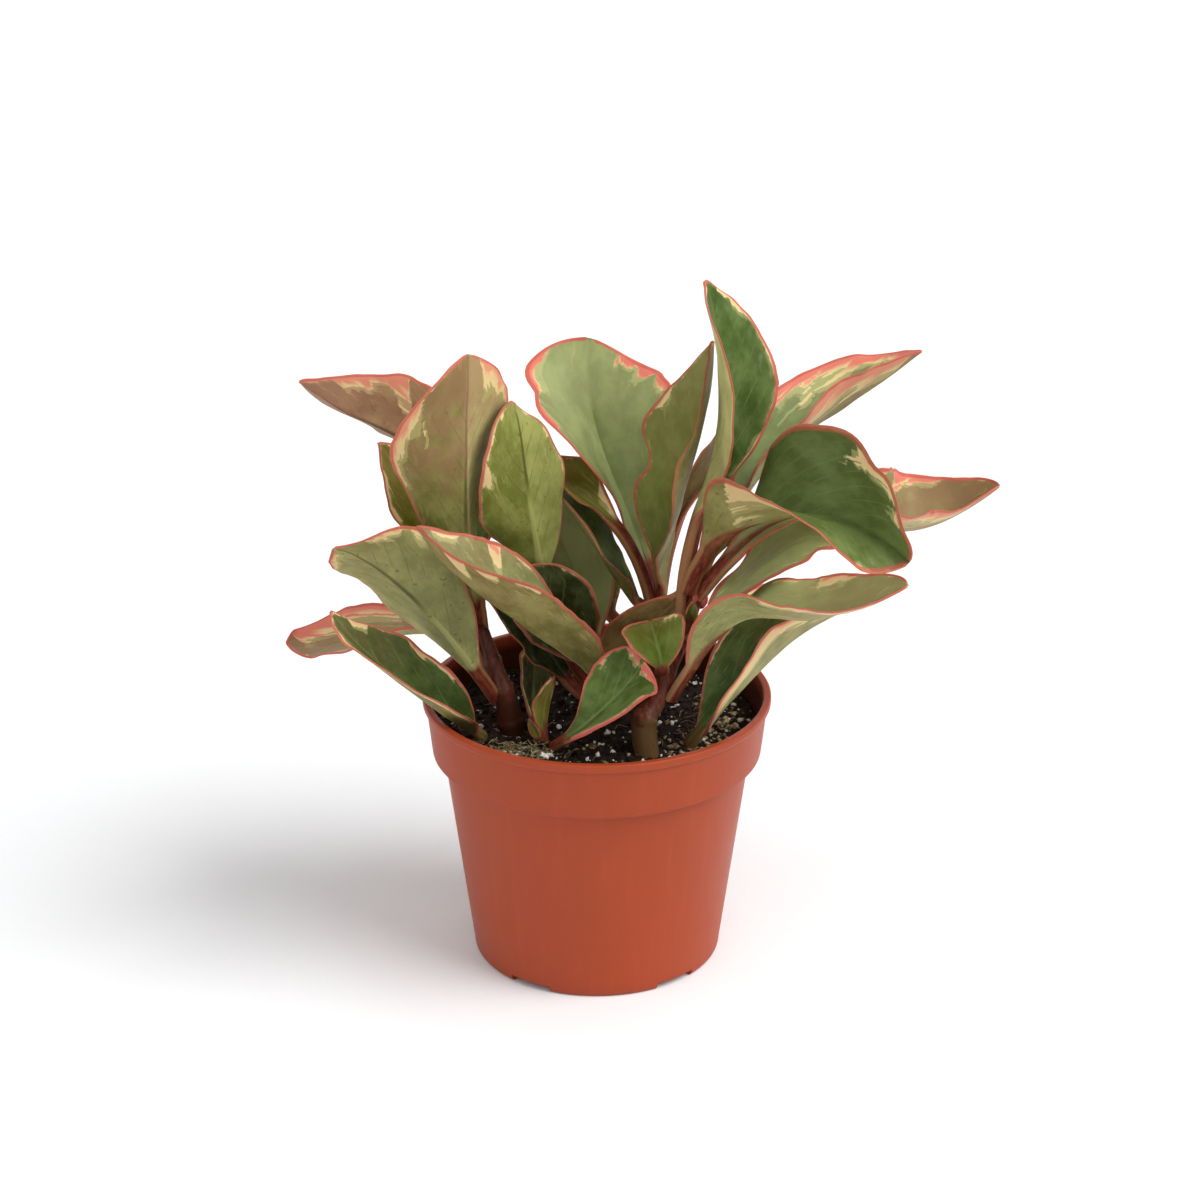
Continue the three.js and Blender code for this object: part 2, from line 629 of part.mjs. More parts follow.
// The soil, with a plain hole for every stem and leaf stalk that stands in it
function soilSolid(stems, rootedLeaves) {
  const ring = (radius, heightAt) => {
    const points = [];
    for (let index = 0; index < SOIL.segments; index += 1) {
      const angle = 2 * Math.PI * (index + 0.5) / SOIL.segments;
      const x = radius * Math.cos(angle);
      const y = radius * Math.sin(angle);
      points.push(new THREE.Vector3(x, y, heightAt(x, y)));
    }
    return points;
  };
  const bottom = FLOOR + CLEARANCE;
  const wallHeights = [FLOOR + 2, STEP_BASE - CLEARANCE, BAND_BASE];
  const bottomRadius = insideRadius(bottom) - 1.6 - 2 * CLEARANCE;
  const topRadius = insideRadius(SOIL.edgeHeight) - 2 * CLEARANCE;
  const rings = [ring(bottomRadius, () => bottom)];
  for (const height of wallHeights) {
    rings.push(ring(insideRadius(height) - 2 * CLEARANCE, () => height));
  }
  for (let index = SOIL.rings; index > 0; index -= 1) {
    rings.push(ring(topRadius * index / SOIL.rings, soilHeight));
  }
  const first = new THREE.Vector3(0, 0, bottom);
  const last = new THREE.Vector3(0, 0, soilHeight(0, 0));
  let solid = toSolid(skin(rings, first, last));
  for (const stem of stems) {
    solid = solid.subtract(stalkSolid(stem, 1.5 * CLEARANCE));
  }
  for (const leaf of rootedLeaves) {
    solid = solid.subtract(leafSolid(leaf, { rooted: true, grow: 2 * CLEARANCE }));
  }
  return solid;
}

// Each sub-part as a named mesh
const plant = new THREE.Group();
function addPart(name, solid, color, roughness) {
  const material = new THREE.MeshStandardMaterial({ color, roughness, metalness: 0 });
  const mesh = new THREE.Mesh(toGeometry(solid), material);
  mesh.name = name;
  plant.add(mesh);
}

const shoots = {
  left_shoot: LEFT_SHOOT,
  middle_shoot: MIDDLE_SHOOT,
  right_shoot: RIGHT_SHOOT,
  back_shoot: BACK_SHOOT,
};
const rootedLeaves = Object.values(ROOTED).flatMap((group) => Object.values(group));
addPart("pot", potSolid(), COLOURS.terracotta, 0.45);
addPart("soil", soilSolid(Object.values(shoots).map(({ stem }) => stem), rootedLeaves), COLOURS.peat, 0.95);
addPart("left_shoot", shootSolid(LEFT_SHOOT), COLOURS.leafOlive, 0.5);
addPart("middle_shoot", shootSolid(MIDDLE_SHOOT), COLOURS.leafMid, 0.5);
addPart("right_shoot", shootSolid(RIGHT_SHOOT), COLOURS.leafDark, 0.5);
addPart("back_shoot", shootSolid(BACK_SHOOT), COLOURS.leafMid, 0.5);
for (const [name, group] of Object.entries(ROOTED)) {
  const parts = Object.values(group).map((leaf) => leafSolid(leaf, { rooted: true }));
  addPart(name, parts.reduce((joined, part) => joined.add(part)), COLOURS.leafDark, 0.5);
}

export default plant;
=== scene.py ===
import math

import bmesh
import bpy
import numpy as np
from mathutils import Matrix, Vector


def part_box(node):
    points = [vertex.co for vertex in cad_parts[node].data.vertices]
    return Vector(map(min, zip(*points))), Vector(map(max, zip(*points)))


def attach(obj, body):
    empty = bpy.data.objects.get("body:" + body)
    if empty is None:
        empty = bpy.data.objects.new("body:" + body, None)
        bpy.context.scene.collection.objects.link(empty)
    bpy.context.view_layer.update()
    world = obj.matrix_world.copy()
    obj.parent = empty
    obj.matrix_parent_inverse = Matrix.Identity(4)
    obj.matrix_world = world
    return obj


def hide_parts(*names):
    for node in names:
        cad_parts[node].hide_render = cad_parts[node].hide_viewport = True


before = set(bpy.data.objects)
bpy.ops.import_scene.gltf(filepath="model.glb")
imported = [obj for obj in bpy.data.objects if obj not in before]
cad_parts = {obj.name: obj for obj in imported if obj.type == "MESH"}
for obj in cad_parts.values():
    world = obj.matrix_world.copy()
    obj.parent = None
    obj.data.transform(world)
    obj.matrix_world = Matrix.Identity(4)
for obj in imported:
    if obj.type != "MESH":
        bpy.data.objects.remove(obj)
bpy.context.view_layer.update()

MM = 0.001
BODY = "root"

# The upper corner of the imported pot's box, for its height and the radius of its rim
POT_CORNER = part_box("pot")[1]

# The camera: its aim, its distance from that, and how far it looks down, as in the photograph
AIM = (1.1, 0, 130)
CAMERA_DISTANCE = 1180
CAMERA_ELEVATION = 22.8
LENS = 104.0
SENSOR_WIDTH = 36
FARTHEST_SEEN = 20000

# The light: the sky's strength, and each lamp's strength, width in degrees and where it comes from
SKY_STRENGTH = 0.37
KEY_LIGHT = (2.8, 46, (0.62, -0.26, 0.74))
FILL_LIGHT = (0.8, 80, (-0.5, -0.66, 0.56))

# The floor, which bends up into a backdrop behind the pot
STAGE = {"front": -2600, "back": 3200, "half_width": 4500, "bend": 900, "height": 3400}

# The pot and the soil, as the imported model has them
POT = {
    "height": round(POT_CORNER.z / MM, 1), "rim_radius": round(POT_CORNER.x / MM, 1),
    "lip_height": 2.4, "lip_drop": 1.2, "lip_round": 0.75, "band_top_radius": 58.7,
    "band_bottom_radius": 56.8, "band_height": 20.4, "body_top_radius": 52.7, "step_height": 3,
    "body_bottom_radius": 43.2, "foot_radius": 41.4, "foot_inner_radius": 38.6, "edge_round": 3,
    "wall": 1.5, "plate_underside": 3, "plate_thickness": 1.6, "centre_foot_radius": 7,
}
NOTCH = {"count": 5, "first_angle": -122.5, "arc": 21, "height": 2.5}
DRAIN = {"count": 5, "radius": 4, "ring": 27}
SOIL = {
    "edge_height": 84.6, "crown": 1.6, "lump_height": 0.5, "wall_gap": 0.6, "floor_gap": 0.3,
    "mound": (-33, -36), "mound_height": 2.2, "mound_spread": 9,
}

# How finely round things are divided
POT_SIDES = 192
SOIL_SIDES = 240
SOIL_RINGS = 110
STEM_SIDES = 28
STEM_ROWS = 90
FIBRE_SIDES = 5
FIBRE_ROWS = 9

# Leaves: a stalk's size, the blade's skin, its midrib's keel, groove and fold, its rounded margin,
# and how far a stalk that stands in the soil goes down. Widths are at a blade's tip, and what its
# base adds to them
STALK_RADIUS = 2.45
STALK_FLATNESS = 0.72
BLADE_EDGE = 0.7
BLADE_TOP_SKIN = 0.35
KEEL_DEPTH = 0.9
KEEL_END = 0.15
KEEL_WIDTH = (0.8, 1.4)
GROOVE_DEPTH = 0.3
GROOVE_WIDTH = (0.5, 0.5)
FOLD_ROUND = 1.1
RIM_ROUND = 0.3
MARGIN_THINNING = 0.5
ROOT_DEPTH = 9

# A leaf's mesh: the rows along its blade, stalk and root, and the places across it
ROWS_PER_MM = 0.75
BLADE_ROWS = (14, 76)
EVENNESS = 0.45
STALK_ROWS = 20
ROOT_ROWS = 5
LAST_ROW = 0.997
REACHES = (0.035, 0.09, 0.17, 0.26, 0.36, 0.46, 0.56, 0.66, 0.75, 0.83, 0.9, 0.95, 0.985, 1)
ACROSS = np.array([*(-reach for reach in reversed(REACHES)), 0, *REACHES])

# A blade's waves, its slow swells, and the small ruffles and scallops of its margins
WAVE_HEIGHT = 0.045
WAVES = 2.6
SWELL_SIZE = (17, 13)
SWELL_HEIGHTS = (0.55, 0.2)
SWELL_START = 12
RUFFLE_LENGTH = 8
RUFFLE_HEIGHT = 0.55
SCALLOP_SHARE = 0.045
FINER = 2.3

# The fan of rays that the pale border follows: how far below the blade it starts, its spread, how
# its rays wander and how many broad and fine ones there are, and the veins that cross it
FAN_ORIGIN = 14
FAN_SPAN = 60
RAY_WANDER = 3.4
BROAD_RAYS = 0.36
FINE_RAYS = 1.0
VEIN_SPACING = 9.2
VEIN_SLOPE = 1.75
VEIN_WANDER = 2.4
VEIN_STAGGER = 2.2

# The blocks of the pale border: how far they slant in from the margin, and how softly they end
VEIN_SLANT = 0.9
BLOCK_EASE = 0.012

# The soil's clods, each kind with its height, size and seed, and how far all of them sink
CLODS = ((0.8, 4.2, 5), (0.5, 1.9, 6), (0.3, 0.9, 7))
CLOD_DROP = 0.5

# The lumps on the soil: how many are small, how uneven they are, the width and height of narrow
# and of full ones as shares of their length, how tilted they are, and how high they lie
SMALLNESS = 2.2
LUMPINESS = 0.55
LUMP_WIDTHS = (0.6, 1)
LUMP_HEIGHTS = (0.7, 1.3)
LUMP_LEAN = 0.35
LUMP_LIFT = 0.3

# The fibres on the soil: the shortest as a share of the longest, how much they bend, the radius
# of fine and of coarse ones, and how high they lie
FIBRE_LENGTHS = (0.3, 1)
FIBRE_BEND = 0.8
FIBRE_RADII = (0.1, 0.26)
FIBRE_HEIGHTS = (0.5, 1.3)

# Spots on the soil with their spread: the front-left heap of grit, gritty soil and open soil
HEAP = [((-25, -27), (5, 3.2)), ((-33, -30), (5, 4))]
GRITTY = [((-25, -28), (8, 4)), ((36, -16), (6, 8)), ((22, -38), (7, 4)), ((44, -2), (4, 8))]
OPEN_SOIL = [
    ((-25, -27), (7, 5)), ((30, -20), (9, 8)), ((38, 0), (7, 10)), ((-38, -5), (8, 9)),
    ((0, -38), (10, 6)), ((0, 10), (22, 22)),
]


def leaf(node, root, rise, arch, tip, facing, roll, half, fold_left=(40, 25, 10),
         fold_right=(40, 25, 10), curl=(10, 10), widest=0.58, blunt=0.8, neck=0.3, thick=1,
         dents_left=(), dents_right=()):
    """A leaf's measures, and the CAD node that it belongs to.

    It is one cubic curve through root, rise, arch and tip, bare as a stalk up to neck. facing is
    its heading seen from above, and roll turns it about the curve from root to tip. The folds
    raise its halves at base, middle and tip, curl bends each half across, and half gives their
    widths. widest is where along the blade that is, and blunt is how round the tip is. A dent in
    a margin is given by its place along the blade, its share of the width and its spread.
    """
    return dict(
        node=node, root=root, rise=rise, arch=arch, tip=tip, facing=facing, roll=roll, half=half,
        folds=(fold_left, fold_right), curl=curl, widest=widest, blunt=blunt, neck=neck,
        thick=thick, dents=(dents_left, dents_right),
    )


LEAVES = {
    "upper_left": leaf(
        "left_shoot", (-38, -9, 114), (-47, 18, 195), (-65, 6, 179), (-99, 6, 207),
        facing=165, roll=(75, 65), half=(20, 18.5), fold_left=(40, 35, 15), fold_right=(40, 40, 25),
        curl=(5, 10), widest=0.5, blunt=0.75, neck=0.28),
    "tall_left": leaf(
        "left_shoot", (-32, -12, 102), (-49, 13, 135), (-43, -34, 174), (-42, -20, 225),
        facing=205, roll=(100, 100), half=(23.5, 25.5), fold_left=(35, 35, 5), fold_right=(30, 45, -35),
        curl=(10, 5), widest=0.76, blunt=0.65, neck=0.18),
    "narrow_left": leaf(
        "left_shoot", (-39, -8, 119), (-55, 1, 141), (-61, 5, 164), (-73, 6, 185),
        facing=155, roll=(-20, -20), half=(12, 12), fold_left=(40, 20, 15), blunt=0.95),
    "broad_left": leaf(
        "left_shoot", (-34, -12, 98), (-43, -26, 120), (-68, -16, 153), (-86, -35, 163),
        facing=200, roll=(75, 55), half=(20, 19), fold_left=(40, 35, -15), fold_right=(50, 35, -5),
        neck=0.18),
    "low_back_left": leaf(
        "left_shoot", (-35, -7, 96), (-38, -17, 150), (-92, 27, 92), (-107, 12, 109),
        facing=165, roll=(15, 10), half=(14, 15.5), fold_left=(50, -5, -5), fold_right=(35, 45, 5),
        neck=0.34),
    "hidden_left": leaf(
        "left_shoot", (-37, -6, 112), (-49, 13, 114), (-61, 36, 119), (-77, 52, 124),
        facing=125, roll=(-5, -5), half=(16, 16)),
    "hidden_rising": leaf(
        "left_shoot", (-40, -6, 123), (-40, 8, 142), (-47, 30, 155), (-48, 44, 177),
        facing=100, roll=(-5, -5), half=(16, 16)),
    "upright_middle": leaf(
        "middle_shoot", (2, 6, 92), (-23, 8, 111), (-22, -26, 193), (-28, -7, 204),
        facing=200, roll=(65, 110), half=(16, 17), fold_left=(30, 15, 15), fold_right=(55, 0, -20),
        widest=0.42, blunt=0.85, neck=0.44),
    "bowed_middle": leaf(
        "middle_shoot", (5, 4, 90), (-3, -16, 121), (-40, -42, 142), (-59, -30, 169),
        facing=205, roll=(10, -25), half=(21.5, 20.5), fold_left=(45, 50, 20), fold_right=(55, 45, 30),
        widest=0.56, neck=0.12),
    "inner_low": leaf(
        "middle_shoot", (2, 5, 88), (-22, 3, 101), (-13, 5, 123), (-38, -9, 136),
        facing=200, roll=(-50, -50), half=(15, 15), fold_left=(40, 15, 15),
        widest=0.6, neck=0.22),
    "inner_high": leaf(
        "middle_shoot", (6, 5, 94), (-9, 7, 116), (-13, -10, 129), (-23, -9, 146),
        facing=190, roll=(-80, -85), half=(14.5, 14.5), fold_left=(30, 15, 5), fold_right=(30, 25, 5),
        widest=0.66, blunt=0.65, neck=0.1),
    "grey_middle": leaf(
        "middle_shoot", (3, 8, 91), (-4, 16, 117), (-4, 26, 130), (-22, 25, 160),
        facing=150, roll=(-45, -45), half=(15, 15), fold_left=(30, 15, 5), fold_right=(30, 15, 5),
        widest=0.6, neck=0.22),
    "hidden_middle": leaf(
        "middle_shoot", (2, 8, 95), (-7, 30, 111), (-24, 49, 138), (-27, 54, 162),
        facing=125, roll=(-10, -10), half=(14, 14)),
    "hidden_low": leaf(
        "middle_shoot", (2, 9, 92), (-2, 30, 97), (-8, 58, 105), (-10, 78, 105),
        facing=100, roll=(0, 0), half=(13, 13)),
    "bright_small": leaf(
        "right_shoot", (22, -22, 113), (22, -35, 123), (19, -20, 127), (18, -18, 130),
        facing=150, roll=(-55, -45), half=(11.5, 11.5), fold_left=(40, 25, 25), fold_right=(40, 20, 15),
        widest=0.66, blunt=0.6, neck=0.12),
    "arching_inward": leaf(
        "right_shoot", (34, -10, 141), (20, -12, 130), (14, 8, 116), (4, 2, 99),
        facing=155, roll=(35, 40), half=(11.5, 12), fold_left=(35, 15, 5), fold_right=(30, 5, 5),
        neck=0.12),
    "tall_right": leaf(
        "right_shoot", (29, -14, 128), (28, 4, 163), (50, -19, 184), (36, 3, 243),
        facing=65, roll=(90, 75), half=(20.5, 21), fold_left=(60, 55, 25), fold_right=(50, 35, 10),
        widest=0.74, blunt=0.9, neck=0.2, thick=1.3),
    "upper_right": leaf(
        "right_shoot", (34, -12, 141), (54, -3, 195), (78, 24, 183), (109, 16, 214),
        facing=20, roll=(15, -30), half=(18.5, 18.5), fold_left=(60, 50, 30), fold_right=(55, 35, 35),
        widest=0.56, neck=0.18),
    "far_right": leaf(
        "right_shoot", (33, -12, 135), (77, -45, 215), (86, 22, 118), (136, 5, 170),
        facing=19, roll=(27, 3), half=(21, 21.5), fold_left=(49, 70, 20), fold_right=(35, 48, 44),
        curl=(5, 10), widest=0.63, blunt=0.65, neck=0.06, thick=1.1),
    "broad_dark": leaf(
        "right_shoot", (31, -14, 139), (36, -23, 171), (74, -42, 190), (101, -52, 165),
        facing=-25, roll=(-70, 45), half=(29.5, 25.8), fold_left=(20, 65, 85), fold_right=(90, 30, 10),
        curl=(5, 10), widest=0.56, blunt=0.6, neck=0.18, thick=1.2,
        dents_left=((0.76, 0.1, 0.04), (0.92, 0.26, 0.06))),
    "flat_right": leaf(
        "right_shoot", (29, -16, 122), (46, -33, 145), (67, -8, 165), (79, -20, 157),
        facing=-15, roll=(10, 35), half=(17.5, 10.8), fold_left=(40, -5, 15), fold_right=(50, 0, 15),
        widest=0.6, neck=0.08),
    "low_right": leaf(
        "right_shoot", (25, -24, 104), (55, -45, 169), (51, -39, 122), (101, -52, 157),
        facing=-15, roll=(-35, 10), half=(19, 18.5), fold_left=(35, 30, 25), fold_right=(40, 30, 20),
        blunt=0.5, neck=0.08),
    "hidden_right": leaf(
        "right_shoot", (33, -12, 134), (38, 0, 157), (54, 17, 184), (70, 32, 191),
        facing=50, roll=(5, 5), half=(10, 12), neck=0.4),
    "pink_bract": leaf(
        "right_shoot", (35, -13, 133), (35, -15, 135), (35, -15, 138), (33.5, -14, 141),
        facing=90, roll=(0, 0), half=(2.4, 2.4),
        widest=0.5, neck=0.05, thick=0.45),
    "growing_tip": leaf(
        "right_shoot", (30, -15, 126), (31, -17, 129), (32, -17, 133), (32.5, -16, 136),
        facing=90, roll=(0, 0), half=(2.2, 2.2),
        widest=0.5, neck=0.05, thick=0.45),
    "broad_back": leaf(
        "back_shoot", (20, 15, 119), (19, 37, 143), (-9, 26, 181), (-2, 35, 212),
        facing=135, roll=(-15, -40), half=(25.5, 27), fold_left=(15, 70, -25), fold_right=(15, 20, -10),
        curl=(5, 5), widest=0.72, blunt=0.65, neck=0.12,
        dents_left=((0.825, 0.09, 0.022), (0.88, -0.03, 0.03)), dents_right=((0.95, 0.12, 0.06),)),
    "upright_back": leaf(
        "back_shoot", (22, 14, 119), (23, 21, 155), (35, -13, 180), (39, 11, 219),
        facing=-10, roll=(35, 20), half=(22.5, 22), fold_left=(50, 35, 35), fold_right=(50, 30, 20),
        blunt=0.75, neck=0.06, dents_left=((0.46, 0.26, 0.07), (0.14, 0.4, 0.09))),
    "olive_back": leaf(
        "back_shoot", (19, 15, 121), (10, 12, 167), (-12, 11, 158), (-16, 14, 178),
        facing=190, roll=(-40, -35), half=(13, 12), fold_left=(45, 40, 15), fold_right=(50, 30, 20),
        curl=(10, 15), widest=0.66, blunt=0.85, neck=0.28),
    "dark_back": leaf(
        "back_shoot", (16, 13, 122), (6, 22, 127), (-7, 0, 164), (-21, 23, 169),
        facing=190, roll=(-15, -20), half=(16, 16), fold_left=(50, 25, 30), fold_right=(10, 15, 10),
        widest=0.56, blunt=0.75, neck=0.06),
    "slim_back": leaf(
        "back_shoot", (22, 16, 119), (25, 12, 168), (39, 40, 153), (54, 33, 199),
        facing=25, roll=(-15, -20), half=(12.5, 11.5), fold_left=(50, 5, 0), fold_right=(60, -5, 20),
        widest=0.66, blunt=0.85, neck=0.14),
    "low_back": leaf(
        "back_shoot", (15, 14, 109), (3, 27, 113), (1, 36, 115), (-13, 31, 132),
        facing=145, roll=(-15, -15), half=(14, 14),
        neck=0.36),
    "hidden_back": leaf(
        "back_shoot", (20, 17, 118), (22, 30, 128), (14, 58, 155), (11, 64, 178),
        facing=100, roll=(-5, -5), half=(13, 15),
        neck=0.36),
    "hidden_outer": leaf(
        "back_shoot", (21, 16, 112), (40, 34, 111), (72, 54, 102), (91, 60, 102),
        facing=35, roll=(0, 0), half=(15, 15)),
    "front_leaf": leaf(
        "front_leaf", (-15, -24, 86), (-6, -50, 103), (14, -24, 110), (15, -31, 121),
        facing=-20, roll=(40, 50), half=(15, 14.5), fold_left=(10, 10, 0), fold_right=(40, 20, -25),
        widest=0.7, blunt=0.55, neck=0.1, thick=0.8),
    "low_right_leaf": leaf(
        "low_right_leaf", (32, -22, 87), (45, -31, 109), (64, -16, 126), (84, -24, 137),
        facing=0, roll=(40, 0), half=(18.5, 18), fold_left=(55, 45, 30), fold_right=(55, 55, 45),
        widest=0.6, blunt=0.75, neck=0.06),
    "low_left_leaf": leaf(
        "low_left_leaf", (-39, -15, 86), (-52, -27, 101), (-76, -38, 122), (-88, -33, 140),
        facing=200, roll=(-26, -38), half=(14.3, 15), fold_left=(75, 43, -3), fold_right=(58, 19, -9),
        widest=0.47, blunt=0.9, neck=0.06),
    "inner_leaf": leaf(
        "inner_leaf", (-20.6, -10, 87), (-22, -10, 95), (-23, 4, 101), (-20, 9, 110),
        facing=60, roll=(50, 50), half=(8, 8), fold_left=(30, 25, 5), fold_right=(30, 15, 5),
        widest=0.6, neck=0.1, thick=0.8),
    "sprout_first": leaf(
        "sprout", (-18, -19, 86), (-19, -19, 94), (-18, -19, 100), (-15, -21, 110),
        facing=0, roll=(135, 130), half=(5, 2.5), fold_left=(20, -5, 15), fold_right=(20, 0, 0),
        widest=0.56, neck=0.16, thick=0.7),
    "sprout_second": leaf(
        "sprout", (-19, -19.5, 86), (-20.5, -20, 88), (-21, -20, 91), (-23, -21, 95),
        facing=90, roll=(0, 0), half=(1.6, 1.6),
        neck=0.1, thick=0.5),
}


# Colours as they look on a screen: the leaves' two faces, their pale border and margin line, and
# their stalks
TONES = {
    "deep": (44, 50, 20), "dark": (72, 96, 34), "leaf": (84, 108, 38), "moss": (120, 126, 50),
    "gold": (122, 112, 6), "lime": (92, 108, 0), "sage": (152, 167, 110), "stone": (146, 146, 92),
    "khaki": (136, 126, 70), "straw": (200, 196, 130), "mauve": (158, 114, 90),
    "plum": (160, 118, 88), "bronze": (138, 102, 54),
    "cream": (232, 210, 152), "peach": (242, 184, 146), "pink": (226, 108, 102),
    "margin_red": (200, 96, 84), "margin_brown": (136, 76, 50),
    "stalk_red": (124, 40, 32), "stalk_tan": (176, 114, 84),
}

# Tones of everything else by material: dark, light, and then what its material names
SKINS = {
    "pot_plastic": [
        (156, 61, 28), (166, 68, 34), (178, 78, 44), (196, 112, 80), (136, 58, 36), (44, 22, 14)],
    "peat": [(22, 15, 10), (52, 37, 26), (100, 76, 54)],
    "red_stem_skin": [(70, 30, 20), (112, 56, 38), (64, 34, 20)],
    "tan_stem_skin": [(88, 38, 27), (128, 66, 48), (112, 88, 54)],
    "perlite": [(214, 208, 196), (240, 237, 230)],
    "bark": [(74, 54, 36), (140, 108, 72)],
    "husk": [(112, 94, 62), (206, 190, 150)],
    "fibre": [(78, 56, 38), (150, 120, 86)],
    "moss_fibre": [(92, 82, 54), (158, 144, 104)],
    "studio_paper": [(242, 243, 244), (245, 246, 247)],
}

# Patterns on a leaf: their scale along and across it, their layer, their detail and their roughness
PATTERNS = {
    "wander": (0.16, 0.1, 0, 3), "line": (0.075, 0.085, 4, 1), "ragged": (0.5, 0.6, 0, 2),
    "stroke": (0.85, 0.12, 9, 1), "clear": (0.13, 0.13, 6, 2), "cloud": (0.09, 0.12, 0, 5, 0.62),
    "mottle": (0.12, 0.2, 2, 4), "stalk_streak": (0.3, 1, 0, 3),
}

# Where each thing in a leaf's colours begins and is full, and its shares there if not none and all
SPANS = {
    "border": (0.15, -0.15), "halo": (0.5, -0.5), "halo_share": (1, 3, 0.25, 0.75),
    "peach": (1, 0.3), "stroke": (0.62, 0.69), "stroke_end": (13, 3), "line": (0.35, -0.25),
    "line_start": (-0.05, 0.05), "vein": (0.8, 0.1), "vein_end": (1, 8), "clear": (0.35, 0.65),
    "cloud": (0.33, 0.68), "rib": (1.15, 0.45), "rib_tone": (0.3, 0.5), "speck": (0.23, 0.19),
    "tip": (0.25, 0.95), "stalk": (0.3, 0.85), "stalk_side": (1.4, 2.4),
    "stalk_streak": (0.3, 0.75), "wedge": (1, 0.2),
}
RAGGEDNESS = 1.2
RIB_TAPER = 0.55
HALF_EASE = 1.5
SPECK_SCALE = 0.7
WEDGE_WIDTH = 15
LIGHT_REACH = (1.4, 1.6, 0.6)

# Heights between which a stem takes its low tone, and where the pot's inside is darkened with
# painted shade: the slope and base radius of a face just behind the band's inner one, and the
# heights where that painted shade ends and starts
LOW_STEM = (104, 95)
INNER_SHADE_FACE = (0.093, 48.9)
INNER_SHADE_TOP = (94.5, 90)
INNER_SHADE_START = (80, 83)


def look(left=(), right=(), under=None, edge=(0.5, 0.9), upper="leaf", lower="khaki", blush=0.2,
         halves=(0, 0), red=0.7, pink=0.3, streaks=0.2, stalk=1, wedge=0.1):
    """A leaf's colouring.

    left and right are the blocks where the pale border reaches in from that margin, each with its
    start and end along the margin and its depth in millimetres, and under gives both for the
    lower face where it differs. edge is the border's depth elsewhere, at base and tip. upper and
    lower name the faces' tones, blush is the share of mauve at the tip, and halves make the left
    and right half lighter, or darker below nought: partly the leaf's own tone, and partly painted
    light where a half lies lit. red is the margin line's width, pink and streaks are shares of
    the border that is pink and of pale strokes, stalk is how red the stalk is, and wedge is how
    far along the blade that red runs up the midrib.
    """
    return dict(
        blocks=(left, right), under=under or (left, right), edge=edge, upper=upper, lower=lower,
        blush=blush, halves=halves, red=red, pink=pink, streaks=streaks, stalk=stalk, wedge=wedge,
    )


